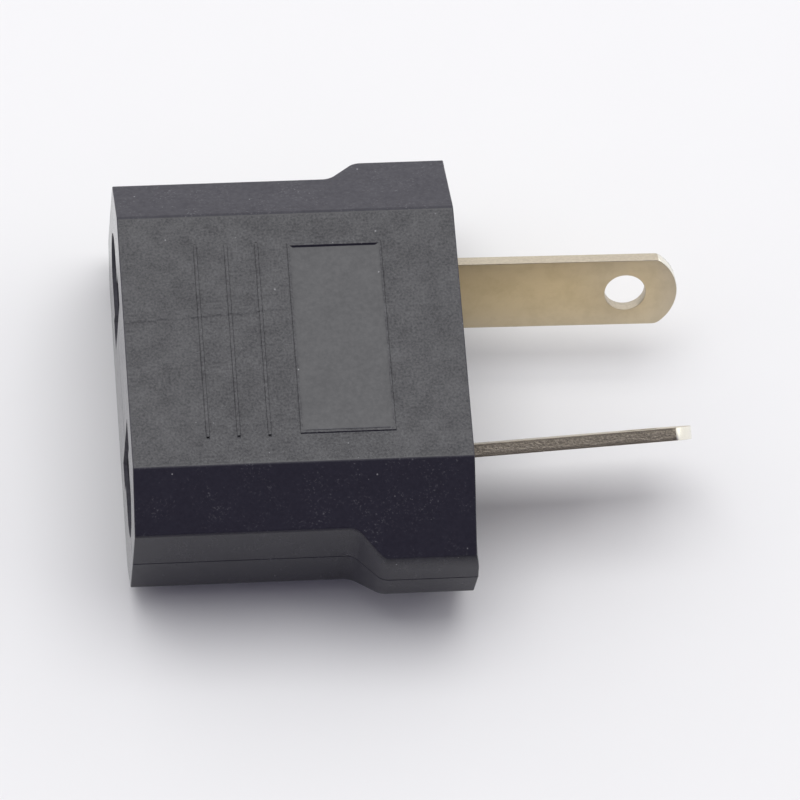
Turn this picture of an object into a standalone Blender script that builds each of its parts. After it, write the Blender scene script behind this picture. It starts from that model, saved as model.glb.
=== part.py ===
"""Two-pole travel plug adapter: two moulded shells, two tilted plug blades and a sprung contact per hole.

+X runs along the plug axis from the socket face to the blade tips, +Z is up and the origin lies on the
ground below the middle of the whole part. Left is +Y and right is -Y.
"""

import math

import bmesh
import bpy
from mathutils import Matrix, Vector

MM = 0.001

# Casing, outside
BODY_LENGTH = 26.95 * MM
BODY_THICKNESS = 15.0 * MM
PARTING_HEIGHT = 7.0 * MM
TOP_FLAT_WIDTH = 22.1 * MM
BOTTOM_FLAT_WIDTH = 25.2 * MM
NARROW_WIDTH = 31.3 * MM
FLANGE_WIDTH = 35.8 * MM
STEP_START = 17.45 * MM
STEP_RUN = 2.2 * MM
STEP_RADIUS = 1.4 * MM
UPPER_SLOPE = math.radians(34.5)
LOWER_SLOPE = math.radians(38.5)
SIDE_DRAFT = math.radians(1.0)
EDGE_RADIUS = 0.35 * MM

# Casing, walls and seam
SIDE_WALL = 1.8 * MM
SOCKET_WALL = 2.2 * MM
BLADE_WALL = 2.85 * MM
SEAM_GAP = 0.2 * MM
LIP_THICKNESS = 0.7 * MM
LIP_HEIGHT = 1.0 * MM
LIP_GAP = 0.2 * MM

# Ribs and label panel on the top face, measured from the socket face
RIB_COUNT = 3
RIB_FIRST = 6.1 * MM
RIB_PITCH = 2.5 * MM
RIB_LENGTH = 17.0 * MM
RIB_WIDTH = 0.5 * MM
RIB_CREST = 0.2 * MM
RIB_HEIGHT = 0.1 * MM
LABEL_CENTRE = 17.15 * MM
LABEL_RUN = 7.6 * MM
LABEL_WIDTH = 16.6 * MM
LABEL_DEPTH = 0.1 * MM
LABEL_RIM_WIDTH = 0.35 * MM
LABEL_RIM_HEIGHT = 0.08 * MM

# Plug blades
CONTACT_HEIGHT = 7.5 * MM
BLADE_PITCH = 14.1 * MM
BLADE_WIDTH = 6.2 * MM
BLADE_THICKNESS = 1.05 * MM
BLADE_LENGTH = 18.35 * MM
LEFT_BLADE_TILT = math.radians(29.0)
RIGHT_BLADE_TILT = math.radians(26.3)
LEFT_TOE_IN = math.radians(1.2)
RIGHT_TOE_IN = math.radians(2.6)
TOE_START = 0.4 * MM
TIP_SAGITTA = 1.6 * MM
TIP_HOLE_DIAMETER = 3.3 * MM
TIP_HOLE_SETBACK = 4.2 * MM
TANG_WIDTH = 3.0 * MM
TANG_HEAD_WIDTH = 3.4 * MM
TANG_HEAD_THICKNESS = 1.7 * MM
TANG_HEAD_LENGTH = 0.7 * MM

# Pins that go into the socket
FLAT_PIN_PITCH = 12.7 * MM
FLAT_PIN_THICKNESS = 1.5 * MM
ROUND_PIN_PITCH = 19.0 * MM
ROUND_PIN_DIAMETER = 4.8 * MM
ROUND_PIN_LENGTH = 19.0 * MM

# Socket holes
FLAT_SLOT_WIDTH = 2.0 * MM
FLAT_SLOT_HEIGHT = 7.6 * MM
ROUND_HOLE_HEIGHT = 5.0 * MM
ROUND_HOLE_REACH = 3.45 * MM

# Contact clips
CLIP_THICKNESS = 0.8 * MM
CLIP_HEIGHT = 6.2 * MM
CLIP_SETBACK = 1.0 * MM
CLIP_BEND_RADIUS = 0.8 * MM
JAW_PIN_GAP = 0.15 * MM
JAW_FRONT = 6.0 * MM
JAW_FLARE_RUN = 2.0 * MM
JAW_FLARE = 0.8 * MM
INNER_JAW_JOG = 0.85 * MM
INNER_JAW_JOG_START = 3.2 * MM
INNER_JAW_JOG_RUN = 2.0 * MM

# Spring leaves
LEAF_THICKNESS = 0.4 * MM
LEAF_HEIGHT = 4.4 * MM
LEAF_BEND_RADIUS = 0.7 * MM
LEAF_FRONT = 6.5 * MM
LEAF_FRONT_OFFSET = 0.9 * MM
LEAF_FLAT_BUMP = 9.5 * MM
LEAF_FLAT_BITE = 0.35 * MM
LEAF_ROUND_BUMP = 14.0 * MM
LEAF_ROUND_BITE = 0.5 * MM
LEAF_SLANT_GAP = 0.4 * MM
LEAF_ROOT_RUN = 0.9 * MM
LEAF_FOOT_LENGTH = 2.3 * MM
LEAF_HEAD_GAP = 0.55 * MM

# Rivets through the leaf foot and the clip base
RIVET_DIAMETER = 1.2 * MM
RIVET_HEAD_DIAMETER = 2.4 * MM
RIVET_HEAD_HEIGHT = 0.5 * MM
RIVET_GAP = 0.15 * MM

# Moulded pegs, barrier and cradles inside the shells
PEG_PLACES = (6.0 * MM, 19.0 * MM)
POST_DIAMETER = 3.4 * MM
PEG_DIAMETER = 2.0 * MM
PEG_HEIGHT = 2.4 * MM
PEG_GAP = 0.2 * MM
BOSS_WALL = 1.0 * MM
BARRIER_THICKNESS = 1.4 * MM
CRADLE_WIDTH = 2.8 * MM
CRADLE_WALL = 0.9 * MM
CRADLE_GRIP = 0.6 * MM

FIT_GAP = 0.3 * MM
SUNK = 0.6 * MM
OVERCUT = 1.0 * MM
ARC_STEPS = 5
ROUND_SIDES = 24

# Places worked out from the sizes above
TOTAL_LENGTH = BODY_LENGTH + BLADE_LENGTH
SOCKET_X = -TOTAL_LENGTH / 2
UPPER_RISE = BODY_THICKNESS - PARTING_HEIGHT
CAVITY_END = BODY_LENGTH - BLADE_WALL
CLIP_REAR = CAVITY_END - CLIP_SETBACK
CLIP_FRONT = CLIP_REAR - CLIP_THICKNESS
INNER_JAW_FACE = FLAT_PIN_PITCH / 2 - FLAT_PIN_THICKNESS / 2 - JAW_PIN_GAP
OUTER_JAW_FACE = ROUND_PIN_PITCH / 2 + ROUND_PIN_DIAMETER / 2 + JAW_PIN_GAP
TANG_HEAD_REAR = CLIP_FRONT - RIVET_GAP
TANG_HEAD_FRONT = TANG_HEAD_REAR - TANG_HEAD_LENGTH
LEAF_FOOT_CENTRE = CLIP_FRONT - FIT_GAP - LEAF_THICKNESS / 2
BLADE_CENTRE = BLADE_PITCH / 2
WIDEST_TILT = max(LEFT_BLADE_TILT, RIGHT_BLADE_TILT)
HEAD_REACH = (TANG_HEAD_WIDTH * math.sin(WIDEST_TILT) + TANG_HEAD_THICKNESS * math.cos(WIDEST_TILT)) / 2
LEAF_ROOT = BLADE_CENTRE + HEAD_REACH + LEAF_HEAD_GAP
LEAF_FOOT_END = LEAF_ROOT + LEAF_FOOT_LENGTH
RIVET_CENTRE = (LEAF_ROOT + LEAF_BEND_RADIUS + LEAF_FOOT_END) / 2
CRADLE_CENTRE = (LEAF_ROOT + OUTER_JAW_FACE) / 2


def clear_scene():
    """Remove whatever the file holds."""
    for item in list(bpy.data.objects):
        bpy.data.objects.remove(item, do_unlink=True)


def make_material(name, colour, roughness, metallic):
    """Plain surface of one colour."""
    material = bpy.data.materials.new(name)
    material.use_nodes = True
    shader = material.node_tree.nodes["Principled BSDF"]
    shader.inputs["Base Color"].default_value = (*colour, 1.0)
    shader.inputs["Roughness"].default_value = roughness
    shader.inputs["Metallic"].default_value = metallic
    return material


def make_object(name, mesh_data, material=None, origin=(0.0, 0.0, 0.0)):
    """Named object from a bmesh in world coordinates, with its origin at the given point."""
    bmesh.ops.recalc_face_normals(mesh_data, faces=mesh_data.faces)
    bmesh.ops.translate(mesh_data, verts=mesh_data.verts, vec=-Vector(origin))
    mesh = bpy.data.meshes.new(name)
    mesh_data.to_mesh(mesh)
    mesh_data.free()
    piece = bpy.data.objects.new(name, mesh)
    piece.location = origin
    bpy.context.scene.collection.objects.link(piece)
    if material is not None:
        mesh.materials.append(material)
    return piece


def make_cutter(name, mesh_data):
    """Helper solid that only shapes other pieces."""
    cutter = make_object(name, mesh_data)
    cutter.hide_render = True
    cutter.display_type = "WIRE"
    return cutter


def combine(piece, helper, operation):
    """Boolean of a piece with a helper solid."""
    step = piece.modifiers.new(f"{operation.lower()} {helper.name}", "BOOLEAN")
    step.operation = operation
    step.object = helper
    step.solver = "EXACT"


def extrude_outline(points, low, high, place):
    """Closed prism: place(a, b, c) turns an outline point (a, b) at height c into a position."""
    solid = bmesh.new()
    lower = [solid.verts.new(place(a, b, low)) for a, b in points]
    upper = [solid.verts.new(place(a, b, high)) for a, b in points]
    solid.faces.new(lower)
    solid.faces.new(upper)
    for i in range(len(points)):
        j = (i + 1) % len(points)
        solid.faces.new((lower[i], lower[j], upper[j], upper[i]))
    return solid


def plan_place(side):
    """Outline in plan, (run from the socket face, distance from the middle), raised along Z."""
    return lambda run, out, height: Vector((SOCKET_X + run, side * out, height))


def end_place(side):
    """Outline across the part, (distance from the middle, height), extruded along X."""
    return lambda out, height, run: Vector((SOCKET_X + run, side * out, height))


def side_place(run, height, out):
    """Outline seen from the side, (run from the socket face, height), extruded across the part."""
    return Vector((SOCKET_X + run, out, height))


def blade_place(side):
    """Outline in the plane of a tilted blade, (run, distance up its width), thickened across it."""
    tilt = LEFT_BLADE_TILT if side > 0 else RIGHT_BLADE_TILT
    across = Vector((0.0, side * math.sin(tilt), math.cos(tilt)))
    through = Vector((0.0, side * math.cos(tilt), -math.sin(tilt)))
    centre = Vector((SOCKET_X, side * BLADE_CENTRE, CONTACT_HEIGHT))
    return lambda run, width, depth: centre + Vector((run, 0.0, 0.0)) + across * width + through * depth


def rectangle(low_a, high_a, low_b, high_b):
    """Corners of an upright rectangle."""
    return [(low_a, low_b), (high_a, low_b), (high_a, high_b), (low_a, high_b)]


def arc(centre, radius, start, end, steps):
    """Points along an arc, both ends included, with angles in radians."""
    angles = [start + (end - start) * i / steps for i in range(steps + 1)]
    return [(centre[0] + radius * math.cos(a), centre[1] + radius * math.sin(a)) for a in angles]


def round_corners(points, radius):
    """Open path with each inner corner turned into an arc of the given radius."""
    path = [Vector(points[0])]
    for before, corner, after in zip(points, points[1:], points[2:]):
        corner = Vector(corner)
        back = (Vector(before) - corner).normalized()
        ahead = (Vector(after) - corner).normalized()
        half_angle = back.angle(ahead) / 2
        reach = radius / math.tan(half_angle)
        bisector = (back + ahead).normalized()
        centre = corner + bisector * (radius / math.sin(half_angle))
        first = corner + back * reach - centre
        turn = first.angle_signed(corner + ahead * reach - centre)
        for i in range(ARC_STEPS + 1):
            path.append(centre + Matrix.Rotation(-turn * i / ARC_STEPS, 2) @ first)
    path.append(Vector(points[-1]))
    return path


def strip_outline(path, thickness):
    """Closed outline of a strip of even thickness along an open path."""
    left, right = [], []
    for i, point in enumerate(path):
        ahead = (path[min(i + 1, len(path) - 1)] - point).normalized()
        back = (point - path[max(i - 1, 0)]).normalized()
        ahead = ahead if ahead.length else back
        back = back if back.length else ahead
        normal_back = Vector((-back.y, back.x))
        normal_ahead = Vector((-ahead.y, ahead.x))
        mitre = (normal_back + normal_ahead) / (1.0 + normal_back.dot(normal_ahead))
        left.append(point + mitre * thickness / 2)
        right.append(point - mitre * thickness / 2)
    return [tuple(p) for p in left + right[::-1]]


def plan_side(inset, start_inset, end_inset, radius):
    """One long side of the casing in plan, from the socket end to the flange end, drawn in by the insets."""
    diagonal = math.atan2((FLANGE_WIDTH - NARROW_WIDTH) / 2, STEP_RUN)
    shift = inset * math.tan(diagonal / 2)
    corners = [
        (start_inset, NARROW_WIDTH / 2 - inset),
        (STEP_START + shift, NARROW_WIDTH / 2 - inset),
        (STEP_START + STEP_RUN + shift, FLANGE_WIDTH / 2 - inset),
        (BODY_LENGTH - end_inset, FLANGE_WIDTH / 2 - inset),
    ]
    if radius:
        return round_corners(corners, radius)
    return [Vector(c) for c in corners]


def draft_directions(side_line):
    """How each point of a long side moves per unit of inward draft. The ends stay square to the plug axis."""
    directions = []
    for i in range(len(side_line)):
        back = (side_line[i] - side_line[max(i - 1, 0)]).normalized()
        ahead = (side_line[min(i + 1, len(side_line) - 1)] - side_line[i]).normalized()
        back = back if back.length else ahead
        ahead = ahead if ahead.length else back
        normal_back = Vector((back.y, -back.x))
        normal_ahead = Vector((ahead.y, -ahead.x))
        directions.append((normal_back + normal_ahead) / (1.0 + normal_back.dot(normal_ahead)))
    return directions


def half_body(upward, inset=0.0, start_inset=0.0, end_inset=0.0, radius=0.0, draft=0.0, first=0.0):
    """Closed solid of one half of the casing, above or below the parting plane, drawn in by the insets.

    first is the height from the parting plane at which the solid starts.
    """
    rise = (UPPER_RISE if upward else PARTING_HEIGHT) - inset
    slope = UPPER_SLOPE if upward else LOWER_SLOPE
    flat_half = (TOP_FLAT_WIDTH if upward else BOTTOM_FLAT_WIDTH) / 2 - inset * math.tan(slope / 2)
    steep = math.tan(slope)
    lean = math.tan(draft)
    direction = 1.0 if upward else -1.0
    line = plan_side(inset, start_inset, end_inset, radius)
    moves = draft_directions(line)
    solid = bmesh.new()

    def corner(run, out, height):
        return solid.verts.new((SOCKET_X + run, out, PARTING_HEIGHT + direction * height))

    seam, shoulder, crest = {}, {}, {}
    for side in (1.0, -1.0):
        seam[side], shoulder[side] = [], []
        for point, move in zip(line, moves):
            height = (rise - steep * (point.y - flat_half)) / (1.0 + steep * move.y * lean)
            low = point + move * lean * first
            high = point + move * lean * height
            seam[side].append(corner(low.x, side * low.y, first))
            shoulder[side].append(corner(high.x, side * high.y, height))
        crest[side] = [corner(line[i].x, side * flat_half, rise) for i in (0, -1)]
        for i in range(len(line) - 1):
            solid.faces.new((seam[side][i], seam[side][i + 1], shoulder[side][i + 1], shoulder[side][i]))
        solid.faces.new(shoulder[side] + crest[side][::-1])
    solid.faces.new(seam[1.0] + seam[-1.0][::-1])
    solid.faces.new(crest[1.0] + crest[-1.0][::-1])
    for i in (0, -1):
        left = [seam[1.0][i], shoulder[1.0][i], crest[1.0][0 if i == 0 else 1]]
        right = [seam[-1.0][i], shoulder[-1.0][i], crest[-1.0][0 if i == 0 else 1]]
        solid.faces.new(left + right[::-1])
    return solid


def round_outer_edges(solid, upward):
    """Small radius on every outer edge of a half casing except along its seam."""
    bmesh.ops.recalc_face_normals(solid, faces=solid.faces)
    seam_height = PARTING_HEIGHT + (SEAM_GAP / 2 if upward else -SEAM_GAP / 2)
    sharp_angle = math.radians(25.0)
    edges = []
    for edge in solid.edges:
        on_seam = all(abs(v.co.z - seam_height) < SEAM_GAP / 4 for v in edge.verts)
        if not on_seam and edge.calc_face_angle() > sharp_angle:
            edges.append(edge)
    bmesh.ops.bevel(
        solid, geom=edges, offset=EDGE_RADIUS, offset_type="OFFSET", segments=2, profile=0.5, affect="EDGES",
        clamp_overlap=True,
    )


def seam_prism(inset, low, high):
    """Prism that follows the casing's plan, drawn in evenly from the inner faces of its walls."""
    reach = SIDE_WALL - inset
    line = plan_side(inset, SOCKET_WALL - reach, BLADE_WALL - reach, 0.0)
    outline = [tuple(p) for p in line] + [(p.x, -p.y) for p in reversed(line)]
    return extrude_outline(outline, low, high, plan_place(1.0))


def upright_cylinder(run, diameter, low, high):
    """Round post on the casing's middle plane."""
    outline = arc((run, 0.0), diameter / 2, 0.0, 2 * math.pi * (1 - 1 / ROUND_SIDES), ROUND_SIDES - 1)
    return extrude_outline(outline, low, high, plan_place(1.0))


def socket_hole_outline():
    """Slot for a flat pin, joined to a round-ended hole for a round pin, seen from the socket end."""
    slot_in = FLAT_PIN_PITCH / 2 - FLAT_SLOT_WIDTH / 2
    slot_out = FLAT_PIN_PITCH / 2 + FLAT_SLOT_WIDTH / 2
    slot_half = FLAT_SLOT_HEIGHT / 2
    radius = ROUND_HOLE_HEIGHT / 2
    centre = (ROUND_PIN_PITCH / 2 + ROUND_HOLE_REACH - radius, CONTACT_HEIGHT)
    end = arc(centre, radius, -math.pi / 2, math.pi / 2, 2 * ARC_STEPS)
    return (
        [(slot_in, CONTACT_HEIGHT - slot_half), (slot_out, CONTACT_HEIGHT - slot_half)]
        + [(slot_out, CONTACT_HEIGHT - radius)]
        + end
        + [(slot_out, CONTACT_HEIGHT + radius)]
        + [(slot_out, CONTACT_HEIGHT + slot_half), (slot_in, CONTACT_HEIGHT + slot_half)]
    )


def shared_cutters():
    """Socket holes, blade slots and the seats of the clip bases, which both shells leave free."""
    cutters = []
    for name, side in (("left", 1.0), ("right", -1.0)):
        hole = extrude_outline(socket_hole_outline(), -OVERCUT, SOCKET_WALL + OVERCUT, end_place(side))
        cutters.append(make_cutter(f"{name}_socket_hole_cutter", hole))
        slot = extrude_outline(
            rectangle(
                CAVITY_END - OVERCUT, BODY_LENGTH + OVERCUT,
                -BLADE_WIDTH / 2 - FIT_GAP, BLADE_WIDTH / 2 + FIT_GAP,
            ),
            -BLADE_THICKNESS / 2 - FIT_GAP, BLADE_THICKNESS / 2 + FIT_GAP, blade_place(side),
        )
        cutters.append(make_cutter(f"{name}_blade_slot_cutter", slot))
        seat = extrude_outline(
            rectangle(
                CRADLE_CENTRE - CRADLE_WIDTH, CRADLE_CENTRE + CRADLE_WIDTH,
                CONTACT_HEIGHT - CLIP_HEIGHT / 2 - FIT_GAP, CONTACT_HEIGHT + CLIP_HEIGHT / 2 + FIT_GAP,
            ),
            CLIP_FRONT - FIT_GAP, CLIP_REAR + FIT_GAP, end_place(side),
        )
        cutters.append(make_cutter(f"{name}_clip_seat_cutter", seat))
    return cutters


def cradle(side, upward):
    """Block against the blade wall whose slot takes one edge of a clip base."""
    if upward:
        low = CONTACT_HEIGHT + CLIP_HEIGHT / 2 - CRADLE_GRIP
        high = BODY_THICKNESS - SIDE_WALL + SUNK
    else:
        low = SIDE_WALL - SUNK
        high = CONTACT_HEIGHT - CLIP_HEIGHT / 2 + CRADLE_GRIP
    outline = rectangle(
        CLIP_FRONT - FIT_GAP - CRADLE_WALL, CAVITY_END + SUNK,
        CRADLE_CENTRE - CRADLE_WIDTH / 2, CRADLE_CENTRE + CRADLE_WIDTH / 2,
    )
    return extrude_outline(outline, low, high, plan_place(side))


def add_cradles(shell, upward):
    """Cradles for the left and the right clip."""
    which = "upper" if upward else "lower"
    for name, side in (("left", 1.0), ("right", -1.0)):
        helper = make_cutter(f"{which}_{name}_cradle_form", cradle(side, upward))
        combine(shell, helper, "UNION")


def build_lower_shell(material, cutters):
    """Lower half of the casing, with its lip, pegs, barrier and cradles."""
    outer = half_body(False, radius=STEP_RADIUS, draft=SIDE_DRAFT, first=SEAM_GAP / 2)
    round_outer_edges(outer, False)
    shell = make_object("lower_shell", outer, material)
    lip_top = PARTING_HEIGHT + LIP_HEIGHT
    lip = seam_prism(SIDE_WALL - LIP_THICKNESS, PARTING_HEIGHT - OVERCUT, lip_top)
    combine(shell, make_cutter("lip_form", lip), "UNION")
    cavity = half_body(False, SIDE_WALL, SOCKET_WALL, BLADE_WALL, first=-LIP_HEIGHT - OVERCUT)
    combine(shell, make_cutter("lower_cavity_cutter", cavity), "DIFFERENCE")
    post_top = PARTING_HEIGHT - SEAM_GAP / 2
    barrier = extrude_outline(
        rectangle(SOCKET_WALL - SUNK, CAVITY_END + SUNK, -BARRIER_THICKNESS / 2, BARRIER_THICKNESS / 2),
        SIDE_WALL - SUNK, post_top - SUNK, plan_place(1.0),
    )
    combine(shell, make_cutter("barrier_form", barrier), "UNION")
    for i, run in enumerate(PEG_PLACES):
        post = upright_cylinder(run, POST_DIAMETER, SIDE_WALL - SUNK, post_top)
        combine(shell, make_cutter(f"post_form_{i + 1}", post), "UNION")
        peg = upright_cylinder(run, PEG_DIAMETER, post_top - SUNK, post_top + PEG_HEIGHT)
        combine(shell, make_cutter(f"peg_form_{i + 1}", peg), "UNION")
    add_cradles(shell, False)
    for cutter in cutters:
        combine(shell, cutter, "DIFFERENCE")
    return shell


def top_rib(run):
    """Low ridge across the top face, narrower at its crest."""
    top = BODY_THICKNESS
    crest = top + RIB_HEIGHT
    profile = [
        (run - RIB_WIDTH / 2, top - SUNK), (run + RIB_WIDTH / 2, top - SUNK), (run + RIB_WIDTH / 2, top),
        (run + RIB_CREST / 2, crest), (run - RIB_CREST / 2, crest), (run - RIB_WIDTH / 2, top),
    ]
    return extrude_outline(profile, -RIB_LENGTH / 2, RIB_LENGTH / 2, side_place)


def label_block(inset, low, high):
    """Block over the label panel, drawn in from the outer edge of its rim."""
    run = LABEL_RUN / 2 - inset
    width = LABEL_WIDTH / 2 - inset
    outline = rectangle(LABEL_CENTRE - run, LABEL_CENTRE + run, -width, width)
    return extrude_outline(outline, low, high, plan_place(1.0))


def build_upper_shell(material, cutters):
    """Upper half of the casing, with its rebate, peg bosses, cradles, top ribs and rimmed label panel."""
    outer = half_body(True, radius=STEP_RADIUS, draft=SIDE_DRAFT, first=SEAM_GAP / 2)
    round_outer_edges(outer, True)
    shell = make_object("upper_shell", outer, material)
    rebate_top = PARTING_HEIGHT + LIP_HEIGHT + LIP_GAP
    rebate = seam_prism(SIDE_WALL - LIP_THICKNESS - LIP_GAP, PARTING_HEIGHT - OVERCUT, rebate_top)
    combine(shell, make_cutter("rebate_cutter", rebate), "DIFFERENCE")
    cavity = half_body(True, SIDE_WALL, SOCKET_WALL, BLADE_WALL, first=-OVERCUT)
    combine(shell, make_cutter("upper_cavity_cutter", cavity), "DIFFERENCE")
    ceiling = BODY_THICKNESS - SIDE_WALL
    post_top = PARTING_HEIGHT - SEAM_GAP / 2
    bore = PEG_DIAMETER + 2 * PEG_GAP
    for i, run in enumerate(PEG_PLACES):
        boss = upright_cylinder(run, bore + 2 * BOSS_WALL, post_top + FIT_GAP, ceiling + SUNK)
        combine(shell, make_cutter(f"boss_form_{i + 1}", boss), "UNION")
        hole = upright_cylinder(run, bore, post_top - OVERCUT, post_top + PEG_HEIGHT + FIT_GAP)
        combine(shell, make_cutter(f"boss_bore_cutter_{i + 1}", hole), "DIFFERENCE")
    add_cradles(shell, True)
    for i in range(RIB_COUNT):
        rib = make_cutter(f"rib_form_{i + 1}", top_rib(RIB_FIRST + i * RIB_PITCH))
        combine(shell, rib, "UNION")
    rim = label_block(0.0, BODY_THICKNESS - SUNK, BODY_THICKNESS + LABEL_RIM_HEIGHT)
    combine(shell, make_cutter("label_rim_form", rim), "UNION")
    panel = label_block(LABEL_RIM_WIDTH, BODY_THICKNESS - LABEL_DEPTH, BODY_THICKNESS + OVERCUT)
    combine(shell, make_cutter("label_panel_cutter", panel), "DIFFERENCE")
    for cutter in cutters:
        combine(shell, cutter, "DIFFERENCE")
    return shell


def blade_outline():
    """Blade in its own plane: tang, shoulders, parallel edges and a bowed tip."""
    half = BLADE_WIDTH / 2
    shoulder = CLIP_REAR + RIVET_GAP
    bend = BODY_LENGTH + TOE_START
    tip = BODY_LENGTH + BLADE_LENGTH
    radius = (half**2 + TIP_SAGITTA**2) / (2 * TIP_SAGITTA)
    spread = math.asin(half / radius)
    bow = arc((tip - radius, 0.0), radius, -spread, spread, 2 * ARC_STEPS)
    tang = TANG_WIDTH / 2
    return (
        [(shoulder, -half), (bend, -half)]
        + bow
        + [(bend, half), (shoulder, half), (shoulder, tang)]
        + [(TANG_HEAD_FRONT + TANG_HEAD_LENGTH / 2, tang), (TANG_HEAD_FRONT + TANG_HEAD_LENGTH / 2, -tang)]
        + [(shoulder, -tang)]
    )


def bend_blade(solid, side, toe_in):
    """Lean the exposed part of a blade towards the middle, about a line across its root."""
    place = blade_place(side)
    bend = BODY_LENGTH + TOE_START
    pivot = place(bend, 0.0, 0.0)
    axis = place(bend, 1.0, 0.0) - pivot
    turn = Matrix.Rotation(-side * toe_in, 3, axis)
    outside = [v for v in solid.verts if v.co.x > pivot.x + TOE_START / 4]
    bmesh.ops.rotate(solid, cent=pivot, matrix=turn, verts=outside)


def build_blade(name, side, toe_in, material):
    """Flat plug blade whose tang is staked through the base of its clip."""
    half = BLADE_THICKNESS / 2
    solid = extrude_outline(blade_outline(), -half, half, blade_place(side))
    bend_blade(solid, side, toe_in)
    blade = make_object(name, solid, material)
    head = extrude_outline(
        rectangle(TANG_HEAD_FRONT, TANG_HEAD_REAR, -TANG_HEAD_WIDTH / 2, TANG_HEAD_WIDTH / 2),
        -TANG_HEAD_THICKNESS / 2, TANG_HEAD_THICKNESS / 2, blade_place(side),
    )
    combine(blade, make_cutter(f"{name}_head_form", head), "UNION")
    centre = (BODY_LENGTH + BLADE_LENGTH - TIP_HOLE_SETBACK, 0.0)
    circle = arc(centre, TIP_HOLE_DIAMETER / 2, 0.0, 2 * math.pi * (1 - 1 / ROUND_SIDES), ROUND_SIDES - 1)
    hole = extrude_outline(circle, -OVERCUT, OVERCUT, blade_place(side))
    bend_blade(hole, side, toe_in)
    combine(blade, make_cutter(f"{name}_hole_cutter", hole), "DIFFERENCE")
    return blade


def clip_path():
    """Middle line of a clip in plan: inner jaw, base and outer jaw, with flared mouths."""
    inner = INNER_JAW_FACE - CLIP_THICKNESS / 2
    outer = OUTER_JAW_FACE + CLIP_THICKNESS / 2
    base = (CLIP_FRONT + CLIP_REAR) / 2
    jog = base - INNER_JAW_JOG_START
    mouth = JAW_FRONT + JAW_FLARE_RUN
    corners = [
        (JAW_FRONT, inner - JAW_FLARE), (mouth, inner), (jog - INNER_JAW_JOG_RUN, inner),
        (jog, inner - INNER_JAW_JOG), (base, inner - INNER_JAW_JOG), (base, outer), (mouth, outer),
        (JAW_FRONT, outer + JAW_FLARE),
    ]
    return round_corners(corners, CLIP_BEND_RADIUS)


def build_clip(name, side, material):
    """Bent contact strip, slotted for the blade's tang and drilled for the rivet."""
    low, high = CONTACT_HEIGHT - CLIP_HEIGHT / 2, CONTACT_HEIGHT + CLIP_HEIGHT / 2
    solid = extrude_outline(strip_outline(clip_path(), CLIP_THICKNESS), low, high, plan_place(side))
    clip = make_object(name, solid, material)
    slot = extrude_outline(
        rectangle(
            CLIP_FRONT - OVERCUT, CLIP_REAR + OVERCUT, -TANG_WIDTH / 2 - RIVET_GAP, TANG_WIDTH / 2 + RIVET_GAP
        ),
        -BLADE_THICKNESS / 2 - RIVET_GAP, BLADE_THICKNESS / 2 + RIVET_GAP, blade_place(side),
    )
    combine(clip, make_cutter(f"{name}_tang_cutter", slot), "DIFFERENCE")
    hole = rivet_form(side, RIVET_DIAMETER + 2 * RIVET_GAP, CLIP_FRONT - OVERCUT, CLIP_REAR + OVERCUT)
    combine(clip, make_cutter(f"{name}_rivet_cutter", hole), "DIFFERENCE")
    return clip


def leaf_path():
    """Middle line of a leaf in plan: foot, root, bump for round pins, bump for flat pins and front end."""
    half = LEAF_THICKNESS / 2
    round_edge = ROUND_PIN_PITCH / 2 - ROUND_PIN_DIAMETER / 2
    flat_edge = FLAT_PIN_PITCH / 2 + FLAT_PIN_THICKNESS / 2
    round_bump = round_edge + LEAF_ROUND_BITE - half
    flat_bump = flat_edge - LEAF_FLAT_BITE + half
    slant_end = ROUND_PIN_LENGTH + LEAF_SLANT_GAP
    return round_corners(
        [
            (LEAF_FOOT_CENTRE, LEAF_FOOT_END), (LEAF_FOOT_CENTRE, LEAF_ROOT),
            (LEAF_FOOT_CENTRE - LEAF_ROOT_RUN - LEAF_BEND_RADIUS, LEAF_ROOT), (slant_end, round_bump),
            (LEAF_ROUND_BUMP, round_bump), (LEAF_FLAT_BUMP, flat_bump),
            (LEAF_FRONT, FLAT_PIN_PITCH / 2 + LEAF_FRONT_OFFSET),
        ],
        LEAF_BEND_RADIUS,
    )


def build_leaf(name, side, material):
    """Sprung leaf between the jaws. Its origin lies on the line about which it flexes, at its root's bend."""
    low, high = CONTACT_HEIGHT - LEAF_HEIGHT / 2, CONTACT_HEIGHT + LEAF_HEIGHT / 2
    solid = extrude_outline(strip_outline(leaf_path(), LEAF_THICKNESS), low, high, plan_place(side))
    hinge = (SOCKET_X + LEAF_FOOT_CENTRE, side * LEAF_ROOT, CONTACT_HEIGHT)
    leaf = make_object(name, solid, material, hinge)
    low_cut, high_cut = LEAF_FOOT_CENTRE - LEAF_THICKNESS, LEAF_FOOT_CENTRE + LEAF_THICKNESS
    hole = rivet_form(side, RIVET_DIAMETER + 2 * FIT_GAP, low_cut, high_cut)
    combine(leaf, make_cutter(f"{name}_rivet_cutter", hole), "DIFFERENCE")
    return leaf


def rivet_form(side, diameter, low, high):
    """Cylinder along X through the leaf foot and the clip base."""
    centre = (RIVET_CENTRE, CONTACT_HEIGHT)
    outline = arc(centre, diameter / 2, 0.0, 2 * math.pi * (1 - 1 / ROUND_SIDES), ROUND_SIDES - 1)
    return extrude_outline(outline, low, high, end_place(side))


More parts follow.
